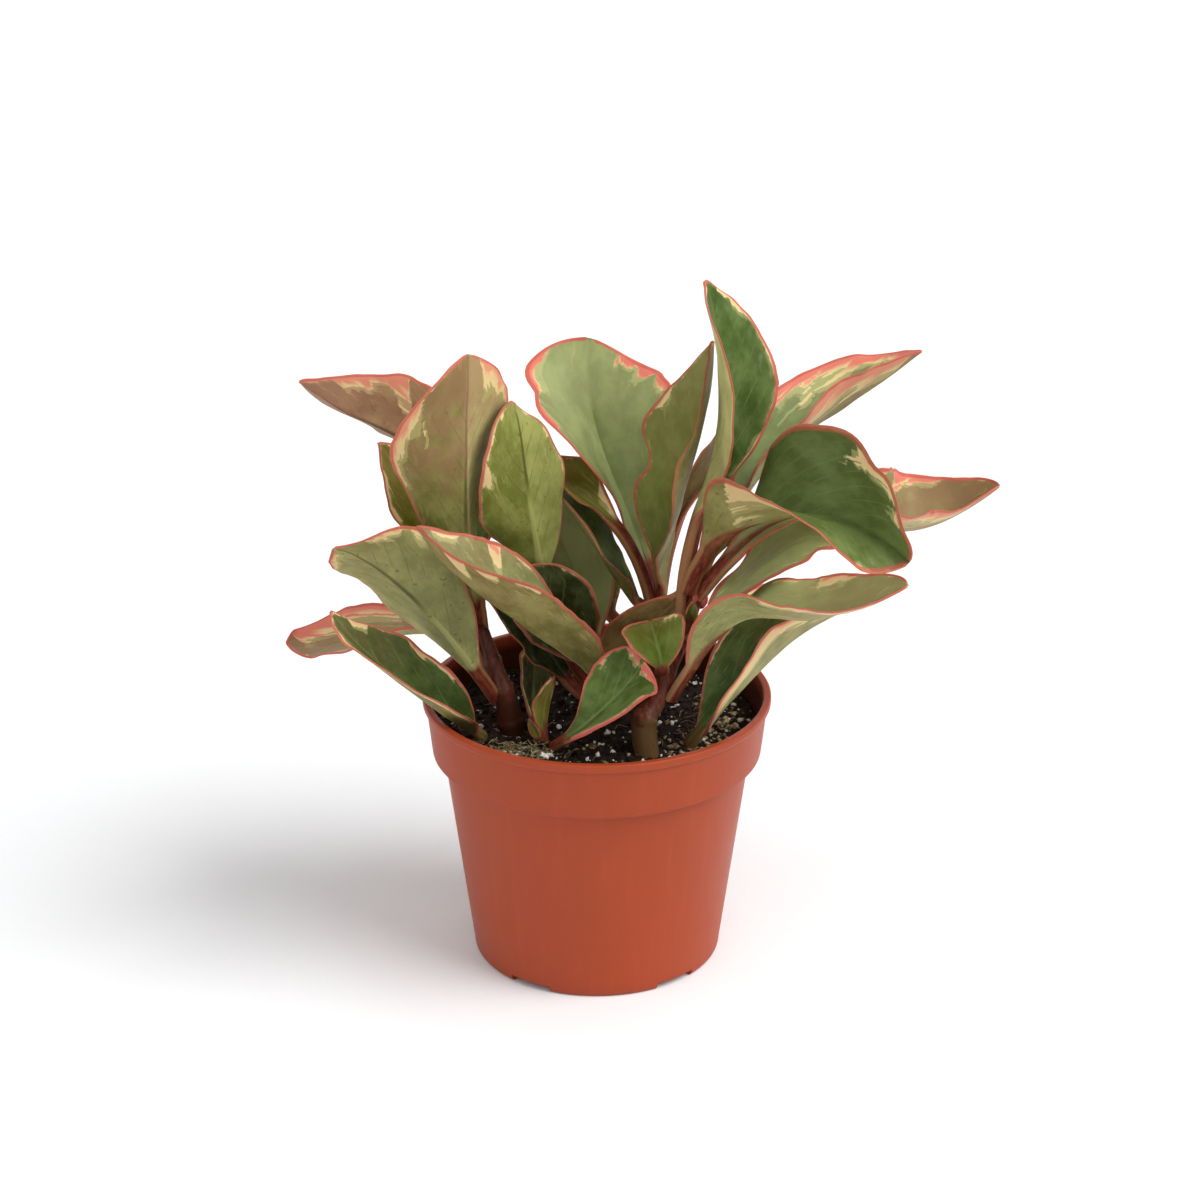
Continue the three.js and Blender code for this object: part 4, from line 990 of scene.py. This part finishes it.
class LeafGraph(Graph):
    """A leaf's material, with what each point knows of its place and with the leaf's rays."""

    def __init__(self, name, style, seed):
        super().__init__(name, roughness=0.42, specular=0.12)
        self.style = style
        self.shift = seed * 7.31
        self.upper = PAINT[style["upper"]]
        self.lower = PAINT[style["lower"]]
        self.fan, self.length, self.margin = self.attribute("leaf_place")
        self.along, self.beneath, self.stalky = self.attribute("leaf_state")
        self.depth, self.offset, self.from_rib = self.attribute("leaf_flame")

        # Rays from the base that wander a little, and random numbers for broad and for fine ones
        self.wander = self.pattern("wander", self.length, self.fan) - 0.5
        self.ray = self.fan + self.wander * RAY_WANDER + self.shift
        self.broad = self.cells(self.ray, BROAD_RAYS)
        self.fine = self.cells(self.ray + 31.7, FINE_RAYS)

    def pattern(self, name, x, y):
        """Noise over two measures of the leaf, different on every leaf."""
        x_scale, y_scale, layer, *kind = PATTERNS[name]
        return self.noise(self.join(x * x_scale, y * y_scale, self.shift + layer), 1.0, *kind)

    def fade(self, name, value):
        """A smooth step over one of the named spans."""
        return self.step(value, *SPANS[name])

    def veins(self):
        """Where veins run: they leave the midrib at a slant and fade towards the margin."""
        stagger = self.math("SIGN", self.offset) * VEIN_STAGGER
        slant = self.length + self.from_rib * -VEIN_SLOPE + self.wander * VEIN_WANDER + stagger
        gap = self.math("PINGPONG", slant, VEIN_SPACING / 2)
        clear = self.pattern("clear", self.length, self.offset)
        return self.fade("vein", gap) * self.fade("vein_end", self.margin) * self.fade("clear", clear)

    def greens(self, vein):
        """Both faces' green, in clouds and lighter or darker halves, partly painted light, and a mauve tip.
        """
        deep, sage, straw = (PAINT[key] for key in ("deep", "sage", "straw"))
        cloud = self.fade("cloud", self.pattern("cloud", self.length, self.offset))
        upper = self.mix(cloud, tint(self.upper, deep, 0.32), tint(self.upper, sage, 0.24))
        lower = self.mix(cloud, tint(self.lower, deep, 0.28), tint(self.lower, straw, 0.22))
        # Lighter or darker halves: partly the leaf's own tone, partly painted light on a half that lies lit
        for light, to_side in zip(self.style["halves"], (HALF_EASE, -HALF_EASE)):
            if light:
                half = self.step(self.offset, -to_side, to_side, 0, abs(light))
                upper = self.mix(half, upper, straw if light > 0 else deep)
                lower = self.mix(half, lower, straw if light > 0 else deep)
        rib = self.fade("rib", self.from_rib + self.along * RIB_TAPER)
        upper = self.mix(vein * 0.45, upper, tint(self.upper, sage, 0.5))
        upper = self.mix(rib * 0.45, upper, tint(self.upper, sage, 0.6))
        lower = self.mix(vein * 0.5, lower, tint(self.lower, deep, 0.6))
        rib_tones = tint(self.lower, straw, 0.4), tint(self.lower, deep, 0.75)
        lower = self.mix(rib * 0.9, lower, self.mix(self.fade("rib_tone", self.along), *rib_tones))
        speck = self.noise(self.join(self.length, self.offset, self.shift), SPECK_SCALE, detail=0)
        lower = self.mix(self.fade("speck", speck) * 0.5, lower, tint(self.lower, deep, 0.8))
        mottle = self.pattern("mottle", self.length, self.offset) - 0.5
        tip = self.fade("tip", self.along + self.wander * 0.5 + mottle * 0.9)
        green = self.mix(self.beneath, upper, lower)
        return self.mix(tip * self.style["blush"], green, PAINT["mauve"])

    def border(self, base):
        """The pale border that reaches in along the rays, in forks and with a greener halo."""
        pink = self.style["pink"]
        sage, cream, peach = (PAINT[key] for key in ("sage", "cream", "peach"))
        forks = 0.55 + self.broad[0] ** 1.5 * 0.5 + self.fine[0] ** 4 * 0.5
        ragged = self.pattern("ragged", self.length, self.offset) - 0.5
        limit = self.depth * forks + ragged * RAGGEDNESS
        inside = self.margin - limit
        halo = inside - self.depth * (self.fine[1] * 0.45 + self.broad[1] * 0.4)
        halo = self.fade("halo", halo) * self.fade("halo_share", self.depth)
        upper_halo = tint(tint(self.upper, sage, 0.5), cream, 0.35)
        base = self.mix(halo, base, self.mix(self.beneath, upper_halo, tint(self.lower, cream, 0.4)))

        # Pale strokes along the rays
        stroke = self.fade("stroke", self.pattern("stroke", self.ray, self.length))
        stroke = stroke * self.fade("stroke_end", self.margin) * self.style["streaks"]
        base = self.mix(stroke, base, tint(tint(sage, cream, 0.5), peach, 0.5 * pink))

        # Cream at the border's inner edge, then peach, then pink towards the margin
        ratio = self.margin / (self.math("MAXIMUM", limit, 0.1) + 0.5) + (self.fine[2] - 0.5) * 0.35
        inner = self.mix(self.fade("peach", ratio), cream, tint(cream, peach, min(1, 0.35 + pink)))
        pink_share = self.step(ratio, 1.35 * pink + 0.01, 0.65 * pink)
        border = self.mix(pink_share, inner, tint(peach, PAINT["pink"], 0.5 + 0.5 * pink))
        border = self.mix(self.beneath * 0.25, border, tint(self.lower, cream, 0.5))
        return self.mix(self.fade("border", inside) * 0.92, base, border)

    def margin_line(self, base):
        """A thin red line along the margin, wider in places."""
        width = (self.pattern("line", self.length, self.fan) * 1.5 + 0.2) * self.style["red"]
        line = self.fade("line", self.margin - width) * self.fade("line_start", self.along)
        redness = min(1, 0.3 + 1.4 * self.style["pink"])
        return self.mix(line * 0.85, base, tint(PAINT["margin_brown"], PAINT["margin_red"], redness))

    def stalk(self, base):
        """The stalk, dark red along its middle and tan beside, with a red wedge up the midrib."""
        red, tan = PAINT["stalk_red"], PAINT["stalk_tan"]
        streaks = self.fade("stalk_streak", self.pattern("stalk_streak", self.length, self.offset))
        core = self.mix(streaks, tint(red, PAINT["deep"], 0.35), tint(red, tan, 0.3))
        skin = self.mix(self.fade("stalk_side", self.from_rib), core, tint(tan, self.upper, 0.25))
        width = self.math("MAXIMUM", (self.style["wedge"] - self.along) * WEDGE_WIDTH, 0.02)
        wedge = self.fade("wedge", self.from_rib / width)
        share = self.math("MAXIMUM", self.fade("stalk", self.stalky), wedge * 0.9)
        return self.mix(share * self.style["stalk"], base, skin)


def leaf_material(name, style, seed):
    """A fleshy leaf's skin, a little see-through."""
    g = LeafGraph(name, style, seed)
    vein = g.veins()
    base = g.stalk(g.margin_line(g.border(g.greens(vein))))
    g.bump(g.noise(g.place(), 2.6) + vein * -0.7, 0.06, 0.6)
    gloss = g.step(g.noise(g.place(), 0.25, detail=3), 0.3, 0.75, 0.38, 0.54)
    g.shader.inputs["Subsurface Weight"].default_value = 0.2
    g.shader.inputs["Subsurface Radius"].default_value = [reach * MM for reach in LIGHT_REACH]
    g.shader.inputs["Subsurface Scale"].default_value = 1.0
    return g.finish(base, gloss + g.beneath * 0.08)


def stem_material(name):
    """A fleshy stem with fine lengthwise streaks, and another tone near the soil."""
    g = Graph(name, roughness=0.42, specular=0.25)
    dark, light, low = g.tones
    place = g.place()
    x, y, z = g.split(place)
    streak = g.noise(g.join(x * 0.9, y * 0.9, z * 0.14), 1.0, detail=4)
    height = z + (g.noise(place, 0.16, detail=3) - 0.5) * 16
    base = g.mix(g.step(streak, 0.3, 0.75), dark, light)
    base = g.mix(g.step(height, *LOW_STEM), base, g.mix(streak, low, tint(low, dark, 0.5)))
    scar = g.step(g.noise(place, 0.9, detail=1), 0.66, 0.72)
    base = g.mix(scar * 0.3, base, dark)
    g.bump(streak, 0.12, 0.4)
    return g.finish(base)


def pot_material():
    """Satin terracotta-coloured plastic with faint flow streaks and scuffs, darker towards the foot, and
    with painted shade inside the band.
    """
    g = Graph("pot_plastic", roughness=0.45, specular=0.25)
    dark, light, streaked, scuffed, dust_and_darker_foot, painted_inner_shade = g.tones
    place = g.place()
    x, y, z = g.split(place)
    angle = g.math("ARCTAN2", y, x)
    radius = g.math("SQRT", x * x + y * y)
    streak = g.noise(g.join(angle * 14, z * 0.03), 1.0, detail=3)
    scuff = g.noise(g.join(angle * 60, z * 0.5), 1.0, detail=4, distortion=1.0)
    cloud = g.noise(place, 0.03, detail=3)
    base = g.mix(cloud, dark, light)
    base = g.mix(g.step(streak, 0.45, 0.8, 0.0, 0.25), base, streaked)
    base = g.mix(g.step(scuff, 0.68, 0.76, 0.0, 0.18), base, scuffed)
    # Darker towards the foot, over its lowest 6 mm
    base = g.mix(g.step(z, 6, 0, 0.0, 0.2), base, dust_and_darker_foot)

    # The inside of the band, above the soil, is darkened with painted shade, as in a recess
    slope, radius_at_base = INNER_SHADE_FACE
    from_wall = radius - (z * slope + radius_at_base)
    share = g.step(from_wall, 0.3, -0.3) * g.step(z, *INNER_SHADE_TOP, 0.2, 0.85) * g.step(z, *INNER_SHADE_START)
    base = g.mix(share, base, painted_inner_shade)
    g.bump(g.noise(place, 1.6, detail=3), 0.03, 0.5)
    return g.finish(base, g.step(cloud, 0.35, 0.7, 0.4, 0.5))


def peat_material():
    """Damp dark peat with browner fibres and paler dust."""
    g = Graph("peat", roughness=0.9, specular=0.25)
    dark, light, dust_and_darker_foot = g.tones
    place = g.place()
    patch = g.noise(place, 0.35, detail=5, roughness=0.65)
    crumb = g.noise(place, 1.7, detail=4, roughness=0.7)
    base = g.mix(g.step(patch, 0.35, 0.7), dark, light)
    base = g.mix(g.step(crumb, 0.6, 0.78, 0.0, 0.6), base, dust_and_darker_foot)
    g.bump(crumb, 0.5, 0.9)
    return g.finish(base)


def grit_material(name, roughness):
    """Small dry bits, each a little different."""
    g = Graph(name, roughness=roughness, specular=0.3)
    place = g.place()
    shade = g.step(g.noise(place, 0.5, detail=3), 0.3, 0.7)
    g.bump(g.noise(place, 3.0, detail=3), 0.2, 0.8)
    return g.finish(g.mix(shade, *g.tones))


# The pot
BAND_BASE = POT["height"] - POT["band_height"]
STEP_BASE = BAND_BASE - POT["step_height"]
LIP_BASE = POT["height"] - POT["lip_height"] - POT["lip_drop"]
FLOOR = POT["plate_underside"] + POT["plate_thickness"]


def outside_radius(height):
    """The radius of the pot's outer face at a height, from its rounded foot up to its lip."""
    heights = (POT["edge_round"], STEP_BASE, BAND_BASE, LIP_BASE)
    sizes = ("body_bottom_radius", "body_top_radius", "band_bottom_radius", "band_top_radius")
    return np.interp(height, heights, [POT[size] for size in sizes])


def inside_radius(height):
    """The radius of the inside of the pot's wall at a height."""
    return outside_radius(height) - POT["wall"]


def arc(centre, radius, start, end, steps):
    """Points on an arc of the profile, from one angle to another."""
    angles = np.radians(np.linspace(start, end, steps + 1))
    return [(centre[0] + radius * math.cos(a), centre[1] + radius * math.sin(a)) for a in angles]


def moved(points, radius, height):
    """Points of the profile given as steps outward and upward from a place on it."""
    return [(radius + out, height + up) for out, up in points]


def pot_profile():
    """Half the pot's section as radius and height, from its centre foot round to its floor."""
    rim, top, lip = POT["rim_radius"], POT["height"], POT["lip_round"]
    foot, inner_foot = POT["foot_radius"], POT["foot_inner_radius"]
    profile = arc((POT["centre_foot_radius"] - 0.5, 0.5), 0.5, -90, 0, 3)
    profile += moved([(0.6, 0)], POT["centre_foot_radius"], POT["plate_underside"])
    profile += moved([(-0.4, 0)], inner_foot, POT["plate_underside"])
    profile += moved([(0, 0.3), (0.3, 0)], inner_foot, 0)
    profile += moved([(-0.6, 0)], foot, 0)
    edge = POT["body_bottom_radius"] - foot
    for turn in np.radians(np.linspace(0, 90, 8)):
        profile.append((foot + edge * math.sin(turn) ** 0.8, POT["edge_round"] * (1 - math.cos(turn))))
    heights = np.linspace(POT["edge_round"], STEP_BASE, 14)[1:]
    profile += [(outside_radius(height), height) for height in heights]

    # The concave step under the band, and the band
    profile += moved([(0.15, 0.7), (0.7, 1.5), (1.6, 2.1)], POT["body_top_radius"], STEP_BASE)
    band_edge = [(-1.4, -0.6), (-0.5, -0.45), (-0.1, -0.15), (0.02, 0.4)]
    profile += moved(band_edge, POT["band_bottom_radius"], BAND_BASE)
    heights = np.linspace(BAND_BASE, LIP_BASE, 7)[1:]
    profile += [(outside_radius(height), height) for height in heights]

    # The lip's bead, from below it over its top to the inside
    profile += moved([(-0.75, 0.35), (-0.3, 0.8)], rim, LIP_BASE)
    profile += arc((rim - lip, LIP_BASE + 1.6), lip, -20, 0, 2)
    profile += arc((rim - lip, top - lip), lip, 0, 90, 6)
    profile += arc((rim - 2, top - 0.7), 0.7, 90, 160, 4)
    heights = np.linspace(LIP_BASE, BAND_BASE, 6)
    profile += [(inside_radius(height), height) for height in heights]
    profile += [(inside_radius(STEP_BASE), STEP_BASE), (inside_radius(FLOOR + 2), FLOOR + 2)]
    profile += [(inside_radius(FLOOR) - 1.6, FLOOR)]
    return profile


def prism(name, plan, low, high):
    """A closed upright prism over a ring of points in plan."""
    count = len(plan)
    points = [(x, y, z) for z in (low, high) for x, y in plan]
    faces = [(i, (i + 1) % count, count + (i + 1) % count, count + i) for i in range(count)]
    faces += [tuple(reversed(range(count))), tuple(range(count, 2 * count))]
    return solid_object(name, points, faces)


def cut_away(piece, cutters):
    """Cuts other solids out of a piece and removes them."""
    for cutter in cutters:
        modifier = piece.modifiers.new(cutter.name, "BOOLEAN")
        modifier.operation = "DIFFERENCE"
        modifier.solver = "EXACT"
        modifier.object = cutter
    evaluated = piece.evaluated_get(bpy.context.evaluated_depsgraph_get())
    mesh = bpy.data.meshes.new_from_object(evaluated)
    piece.modifiers.clear()
    piece.data = mesh
    for cutter in cutters:
        bpy.data.objects.remove(cutter)


def build_pot():
    """The pot, turned about its axis, with notches cut in its foot and drain holes in its floor."""
    profile = pot_profile()
    rings = [ring(radius, full_turn(POT_SIDES), height) for radius, height in profile]
    points = np.concatenate([*rings, [(0, 0, 0), (0, 0, FLOOR)]])
    pot = solid_object("nursery_pot", points, skin_faces(len(profile), POT_SIDES))
    cutters = []
    for index in range(NOTCH["count"]):
        middle = NOTCH["first_angle"] + index * 360 / NOTCH["count"]
        start, end = middle - NOTCH["arc"] / 2, middle + NOTCH["arc"] / 2
        outer = arc((0, 0), POT["body_bottom_radius"] + 2, start, end, 8)
        inner = arc((0, 0), POT["foot_inner_radius"] - 2, end, start, 8)
        cutters.append(prism(f"notch_{index}", outer + inner, -1, NOTCH["height"]))
    for index in range(DRAIN["count"]):
        middle = math.radians(NOTCH["first_angle"] + index * 360 / DRAIN["count"])
        centre = (DRAIN["ring"] * math.cos(middle), DRAIN["ring"] * math.sin(middle))
        hole = arc(centre, DRAIN["radius"], 0, 360, 32)[:-1]
        cutters.append(prism(f"drain_{index}", hole, 1, FLOOR + 2))
    cut_away(pot, cutters)
    finish_mesh(pot.data, 34)
    dress(pot, pot_material(), "pot")


# The soil
SOIL_EDGE = inside_radius(SOIL["edge_height"])


def soil_height(x, y):
    """The smooth height of the soil's surface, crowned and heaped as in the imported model."""
    reach = np.hypot(x, y) / SOIL_EDGE
    crown = SOIL["crown"] * (1 - reach * reach)
    lumps = np.sin(0.61 * x + 0.23 * y) * np.sin(0.47 * y - 0.19 * x + 1.3)
    lumps = lumps + 0.6 * np.sin(1.13 * x - 0.71 * y + 0.4)
    away = np.hypot(x - SOIL["mound"][0], y - SOIL["mound"][1])
    heap = SOIL["mound_height"] * bell(away, SOIL["mound_spread"])
    return SOIL["edge_height"] + crown + SOIL["lump_height"] * lumps + heap


def rough_soil_height(x, y):
    """The soil's surface with its clods and pits."""
    x, y = np.asarray(x, float), np.asarray(y, float)
    flat = np.stack([x, y, 0 * x], axis=-1)
    clods = sum(high * noise(flat / size, seed) for high, size, seed in CLODS)
    return soil_height(x, y) + clods - CLOD_DROP


def build_soil():
    """The soil's body: a rough surface, and a plain side and underside within the pot."""
    angles = full_turn(SOIL_SIDES)
    gap = SOIL["wall_gap"]
    bottom = FLOOR + SOIL["floor_gap"]
    rings = [ring(inside_radius(bottom) - 2.2, angles, bottom)]
    for height in (FLOOR + 2, STEP_BASE - 0.3, BAND_BASE):
        rings.append(ring(inside_radius(height) - gap, angles, height))
    for share in np.sqrt(np.linspace(1, 0.0004, SOIL_RINGS)):
        radius = (SOIL_EDGE - gap) * share
        rough = rough_soil_height(radius * np.cos(angles), radius * np.sin(angles))
        rings.append(ring(radius, angles, rough))
    points = np.concatenate([*rings, [(0, 0, bottom), (0, 0, rough_soil_height(0, 0))]])
    bed = solid_object("peat_bed", points, skin_faces(len(rings), SOIL_SIDES))
    dress(bed, peat_material(), "soil")


def sphere_mesh(detail):
    """The points and faces of a small ball."""
    model = bmesh.new()
    bmesh.ops.create_icosphere(model, subdivisions=detail, radius=1)
    points = np.array([vertex.co for vertex in model.verts])
    faces = [[vertex.index for vertex in face.verts] for face in model.faces]
    model.free()
    return points, faces


def soil_piece(name, lumps, faces, material, sharp):
    """Many small lumps with the same faces, as one piece of the soil."""
    size = len(lumps[0])
    all_faces = [[index * size + corner for corner in face]
                 for index in range(len(lumps)) for face in faces]
    piece = solid_object(name, np.concatenate(lumps), all_faces, sharp)
    dress(piece, material, "soil")


def tilted(points, lean, turn):
    """Points leant about the X axis and then turned about the Z axis."""
    x, y, z = points.T
    y, z = y * math.cos(lean) - z * math.sin(lean), y * math.sin(lean) + z * math.cos(lean)
    x, y = x * math.cos(turn) - y * math.sin(turn), x * math.sin(turn) + y * math.cos(turn)
    return np.stack([x, y, z], axis=1)


def scatter(name, count, sizes, flatness, detail, material, seed, spots=None):
    """Many small lumps of one kind lying on the soil, all over it or round some spots."""
    draw = np.random.RandomState(seed)
    ball, faces = sphere_mesh(detail)
    lumps = []
    for index in range(count):
        size = between(sizes, draw.rand() ** SMALLNESS)
        limit = SOIL_EDGE - 1.6 - size
        if spots:
            spot, spread = spots[index % len(spots)]
            x, y = np.array(spot) + draw.normal(size=2) * spread
        else:
            radius = limit * math.sqrt(draw.rand())
            angle = 2 * math.pi * draw.rand()
            x, y = radius * math.cos(angle), radius * math.sin(angle)
        if math.hypot(x, y) > limit:
            x, y = np.array([x, y]) * limit / math.hypot(x, y)
        lump = ball * (1 + LUMPINESS * noise(ball * 1.9 + index * 3.1, seed))[:, None]
        width = between(LUMP_WIDTHS, draw.rand())
        height = between(LUMP_HEIGHTS, draw.rand()) * flatness
        lump = lump * (size * np.array([1, width, height]))
        turn = 2 * math.pi * draw.rand()
        lump = tilted(lump, draw.normal() * LUMP_LEAN, turn)
        lumps.append(lump + [x, y, rough_soil_height(x, y) + LUMP_LIFT * size * flatness])
    soil_piece(name, lumps, faces, material, 60)


def build_fibres(name, count, seed, spots, material, longest):
    """Thin bent fibres lying on the soil, as one piece."""
    draw = np.random.RandomState(seed)
    u = np.linspace(-0.5, 0.5, FIBRE_ROWS)
    fibres = []
    for index in range(count):
        spot, spread = spots[index % len(spots)]
        x, y = np.array(spot) + draw.normal(size=2) * spread
        heading = 2 * math.pi * draw.rand()
        ahead = longest * between(FIBRE_LENGTHS, draw.rand()) * u
        aside = draw.normal() * FIBRE_BEND * ahead * u
        radius = between(FIBRE_RADII, draw.rand()) * (1 - 0.6 * np.abs(2 * u) ** 3)
        x = x + ahead * math.cos(heading) - aside * math.sin(heading)
        y = y + ahead * math.sin(heading) + aside * math.cos(heading)
        out = np.maximum(1, np.hypot(x, y) / (SOIL_EDGE - 1.5))
        x, y = x / out, y / out
        wander = noise(np.stack([x, y, 0 * x], axis=-1) / 3, index)
        lift = between(FIBRE_HEIGHTS, draw.rand()) + 0.6 * wander
        path = np.stack([x, y, soil_height(x, y) + lift], axis=-1)
        fibres.append(tube(path, radius[:, None], FIBRE_SIDES, [0, 0, 1]))
    soil_piece(name, fibres, skin_faces(FIBRE_ROWS, FIBRE_SIDES), material, 180)


# Stems
def stem_path(points, places):
    """A smooth curve through points, at places from 0 to 1."""
    knots = np.array(points, float)
    padded = np.concatenate([[2 * knots[0] - knots[1]], knots, [2 * knots[-1] - knots[-2]]])
    place = places * (len(knots) - 1)
    index = np.minimum(place.astype(int), len(knots) - 2)
    u = (place - index)[:, None]
    a, b, c, d = (padded[index + step] for step in range(4))
    bends = (c - a) * u + (2 * a - 5 * b + 4 * c - d) * u ** 2 + (3 * b - a - 3 * c + d) * u ** 3
    return 0.5 * (2 * b + bends)


def build_stem(name, node, stem, swellings, material, seed):
    """A fleshy round stem, swollen and ringed with scars at its nodes."""
    t = np.linspace(0, 1, STEM_ROWS)
    path = stem_path([point[:3] for point in stem], t)
    radius = np.interp(t, np.linspace(0, 1, len(stem)), [point[3] for point in stem])
    for place in swellings:
        radius *= 1 + SWELLING * bell(t - place, SWELLING_SPREAD)
        radius -= SCAR_DEPTH * bell(t - place - SCAR_RISE, SCAR_SPREAD)
    from_cap = np.clip(t - 1 + STEM_CAP, 0, None) / STEM_CAP
    radius = radius * np.sqrt(np.clip(1 - from_cap ** 2, 0.02, 1))
    knots = ring(1.2, full_turn(STEM_SIDES), path[:, 2:] / 6)
    lumpy = 1 + STEM_LUMPS[0] * noise(knots, seed) + STEM_LUMPS[1] * noise(knots * 3, seed)
    points = tube(path, radius[:, None] * lumpy, STEM_SIDES, [0, 1, 0])
    piece = solid_object(name, points, skin_faces(STEM_ROWS, STEM_SIDES))
    dress(piece, material, node)


# The stage, the lights and the camera
def build_stage():
    """A pale floor that runs up into a backdrop."""
    bend, back = STAGE["bend"], STAGE["back"]
    profile = [(STAGE["front"], 0)]
    profile += arc((back - bend, bend), bend, -90, 0, 13)
    profile += [(back, STAGE["height"])]
    sides = (-STAGE["half_width"], STAGE["half_width"])
    points = [(x * MM, y * MM, z * MM) for y, z in profile for x in sides]
    faces = [(2 * i, 2 * i + 1, 2 * i + 3, 2 * i + 2) for i in range(len(profile) - 1)]
    mesh = bpy.data.meshes.new("studio_floor")
    mesh.from_pydata(points, [], faces)
    for polygon in mesh.polygons:
        polygon.use_smooth = True
    g = Graph("studio_paper", roughness=0.9, specular=0.1)
    grain = g.noise(g.place(), 0.4)
    mesh.materials.append(g.finish(g.mix(grain, *g.tones)))
    floor = add_object("studio_floor", mesh)


def add_sun(name, strength, width, away):
    """A lamp that is far off in the direction away, and as wide as that many degrees."""
    lamp = bpy.data.lights.new(name, "SUN")
    lamp.energy = strength
    lamp.angle = math.radians(width)
    add_object(name, lamp).rotation_euler = Vector(away).to_track_quat("Z", "Y").to_euler()


def build_light():
    """Even light from all round, a soft sun from the right and a softer fill from the front left."""
    world = bpy.data.worlds.new("studio")
    bpy.context.scene.world = world
    world.use_nodes = True
    world.node_tree.nodes["Background"].inputs["Color"].default_value = (1, 1, 1, 1)
    world.node_tree.nodes["Background"].inputs["Strength"].default_value = SKY_STRENGTH
    add_sun("key", *KEY_LIGHT)
    add_sun("fill", *FILL_LIGHT)
    bpy.context.scene.view_settings.view_transform = "Standard"


def build_camera():
    """The camera of the photograph."""
    elevation = math.radians(CAMERA_ELEVATION)
    away = Vector((0, -math.cos(elevation), math.sin(elevation))) * CAMERA_DISTANCE
    data = bpy.data.cameras.new("camera")
    data.lens = LENS
    data.sensor_width = SENSOR_WIDTH
    data.clip_end = FARTHEST_SEEN * MM
    camera = add_object("camera", data)
    camera.location = (Vector(AIM) + away) * MM
    camera.rotation_euler = (-away).to_track_quat("-Z", "Y").to_euler()
    bpy.context.scene.camera = camera


def build_litter():
    """The crumbs, grit, bark and fibres that lie on the soil."""
    peat = bpy.data.materials["peat"]
    perlite = grit_material("perlite", 0.85)
    bark = grit_material("bark", 0.8)
    husk = grit_material("husk", 0.85)
    fibre = grit_material("fibre", 0.75)
    moss = grit_material("moss_fibre", 0.8)
    scatter("peat_crumbs", 1500, (0.35, 1.5), 0.75, 1, peat, 11)
    scatter("perlite_grit", 320, (0.25, 1.25), 0.8, 2, perlite, 12)
    scatter("heap_grit", 90, (0.25, 0.9), 0.8, 2, perlite, 13, HEAP)
    scatter("pale_grit", 460, (0.25, 1.35), 0.7, 1, husk, 16, GRITTY)
    scatter("bark_chips", 110, (0.5, 1.7), 0.3, 2, bark, 14, OPEN_SOIL)
    build_fibres("peat_fibres", 110, 15, OPEN_SOIL, fibre, 6)
    build_fibres("heap_fibres", 150, 17, HEAP, moss, 4.5)


def build_stems():
    """The stems of the four shoots, redder on the left and tanner on the right."""
    red_skin = stem_material("red_stem_skin")
    tan_skin = stem_material("tan_stem_skin")
    for seed, (name, (node, stem, swellings)) in enumerate(STEMS.items(), start=3):
        skin = tan_skin if node == "right_shoot" else red_skin
        build_stem(name, node, stem, swellings, skin, seed)


def build_leaves():
    """All the leaves. Those that are no part of a shoot stand in the soil by themselves."""
    for seed, (name, m) in enumerate(LEAVES.items(), start=1):
        rooted = not m["node"].endswith("shoot")
        piece_name = name if name.endswith("leaf") or "sprout" in name else name + "_leaf"
        build_leaf(piece_name, m, LOOKS.get(name, UNSEEN), seed, rooted)


build_stage()
build_light()
build_camera()
build_pot()
build_soil()
build_litter()
build_stems()
build_leaves()
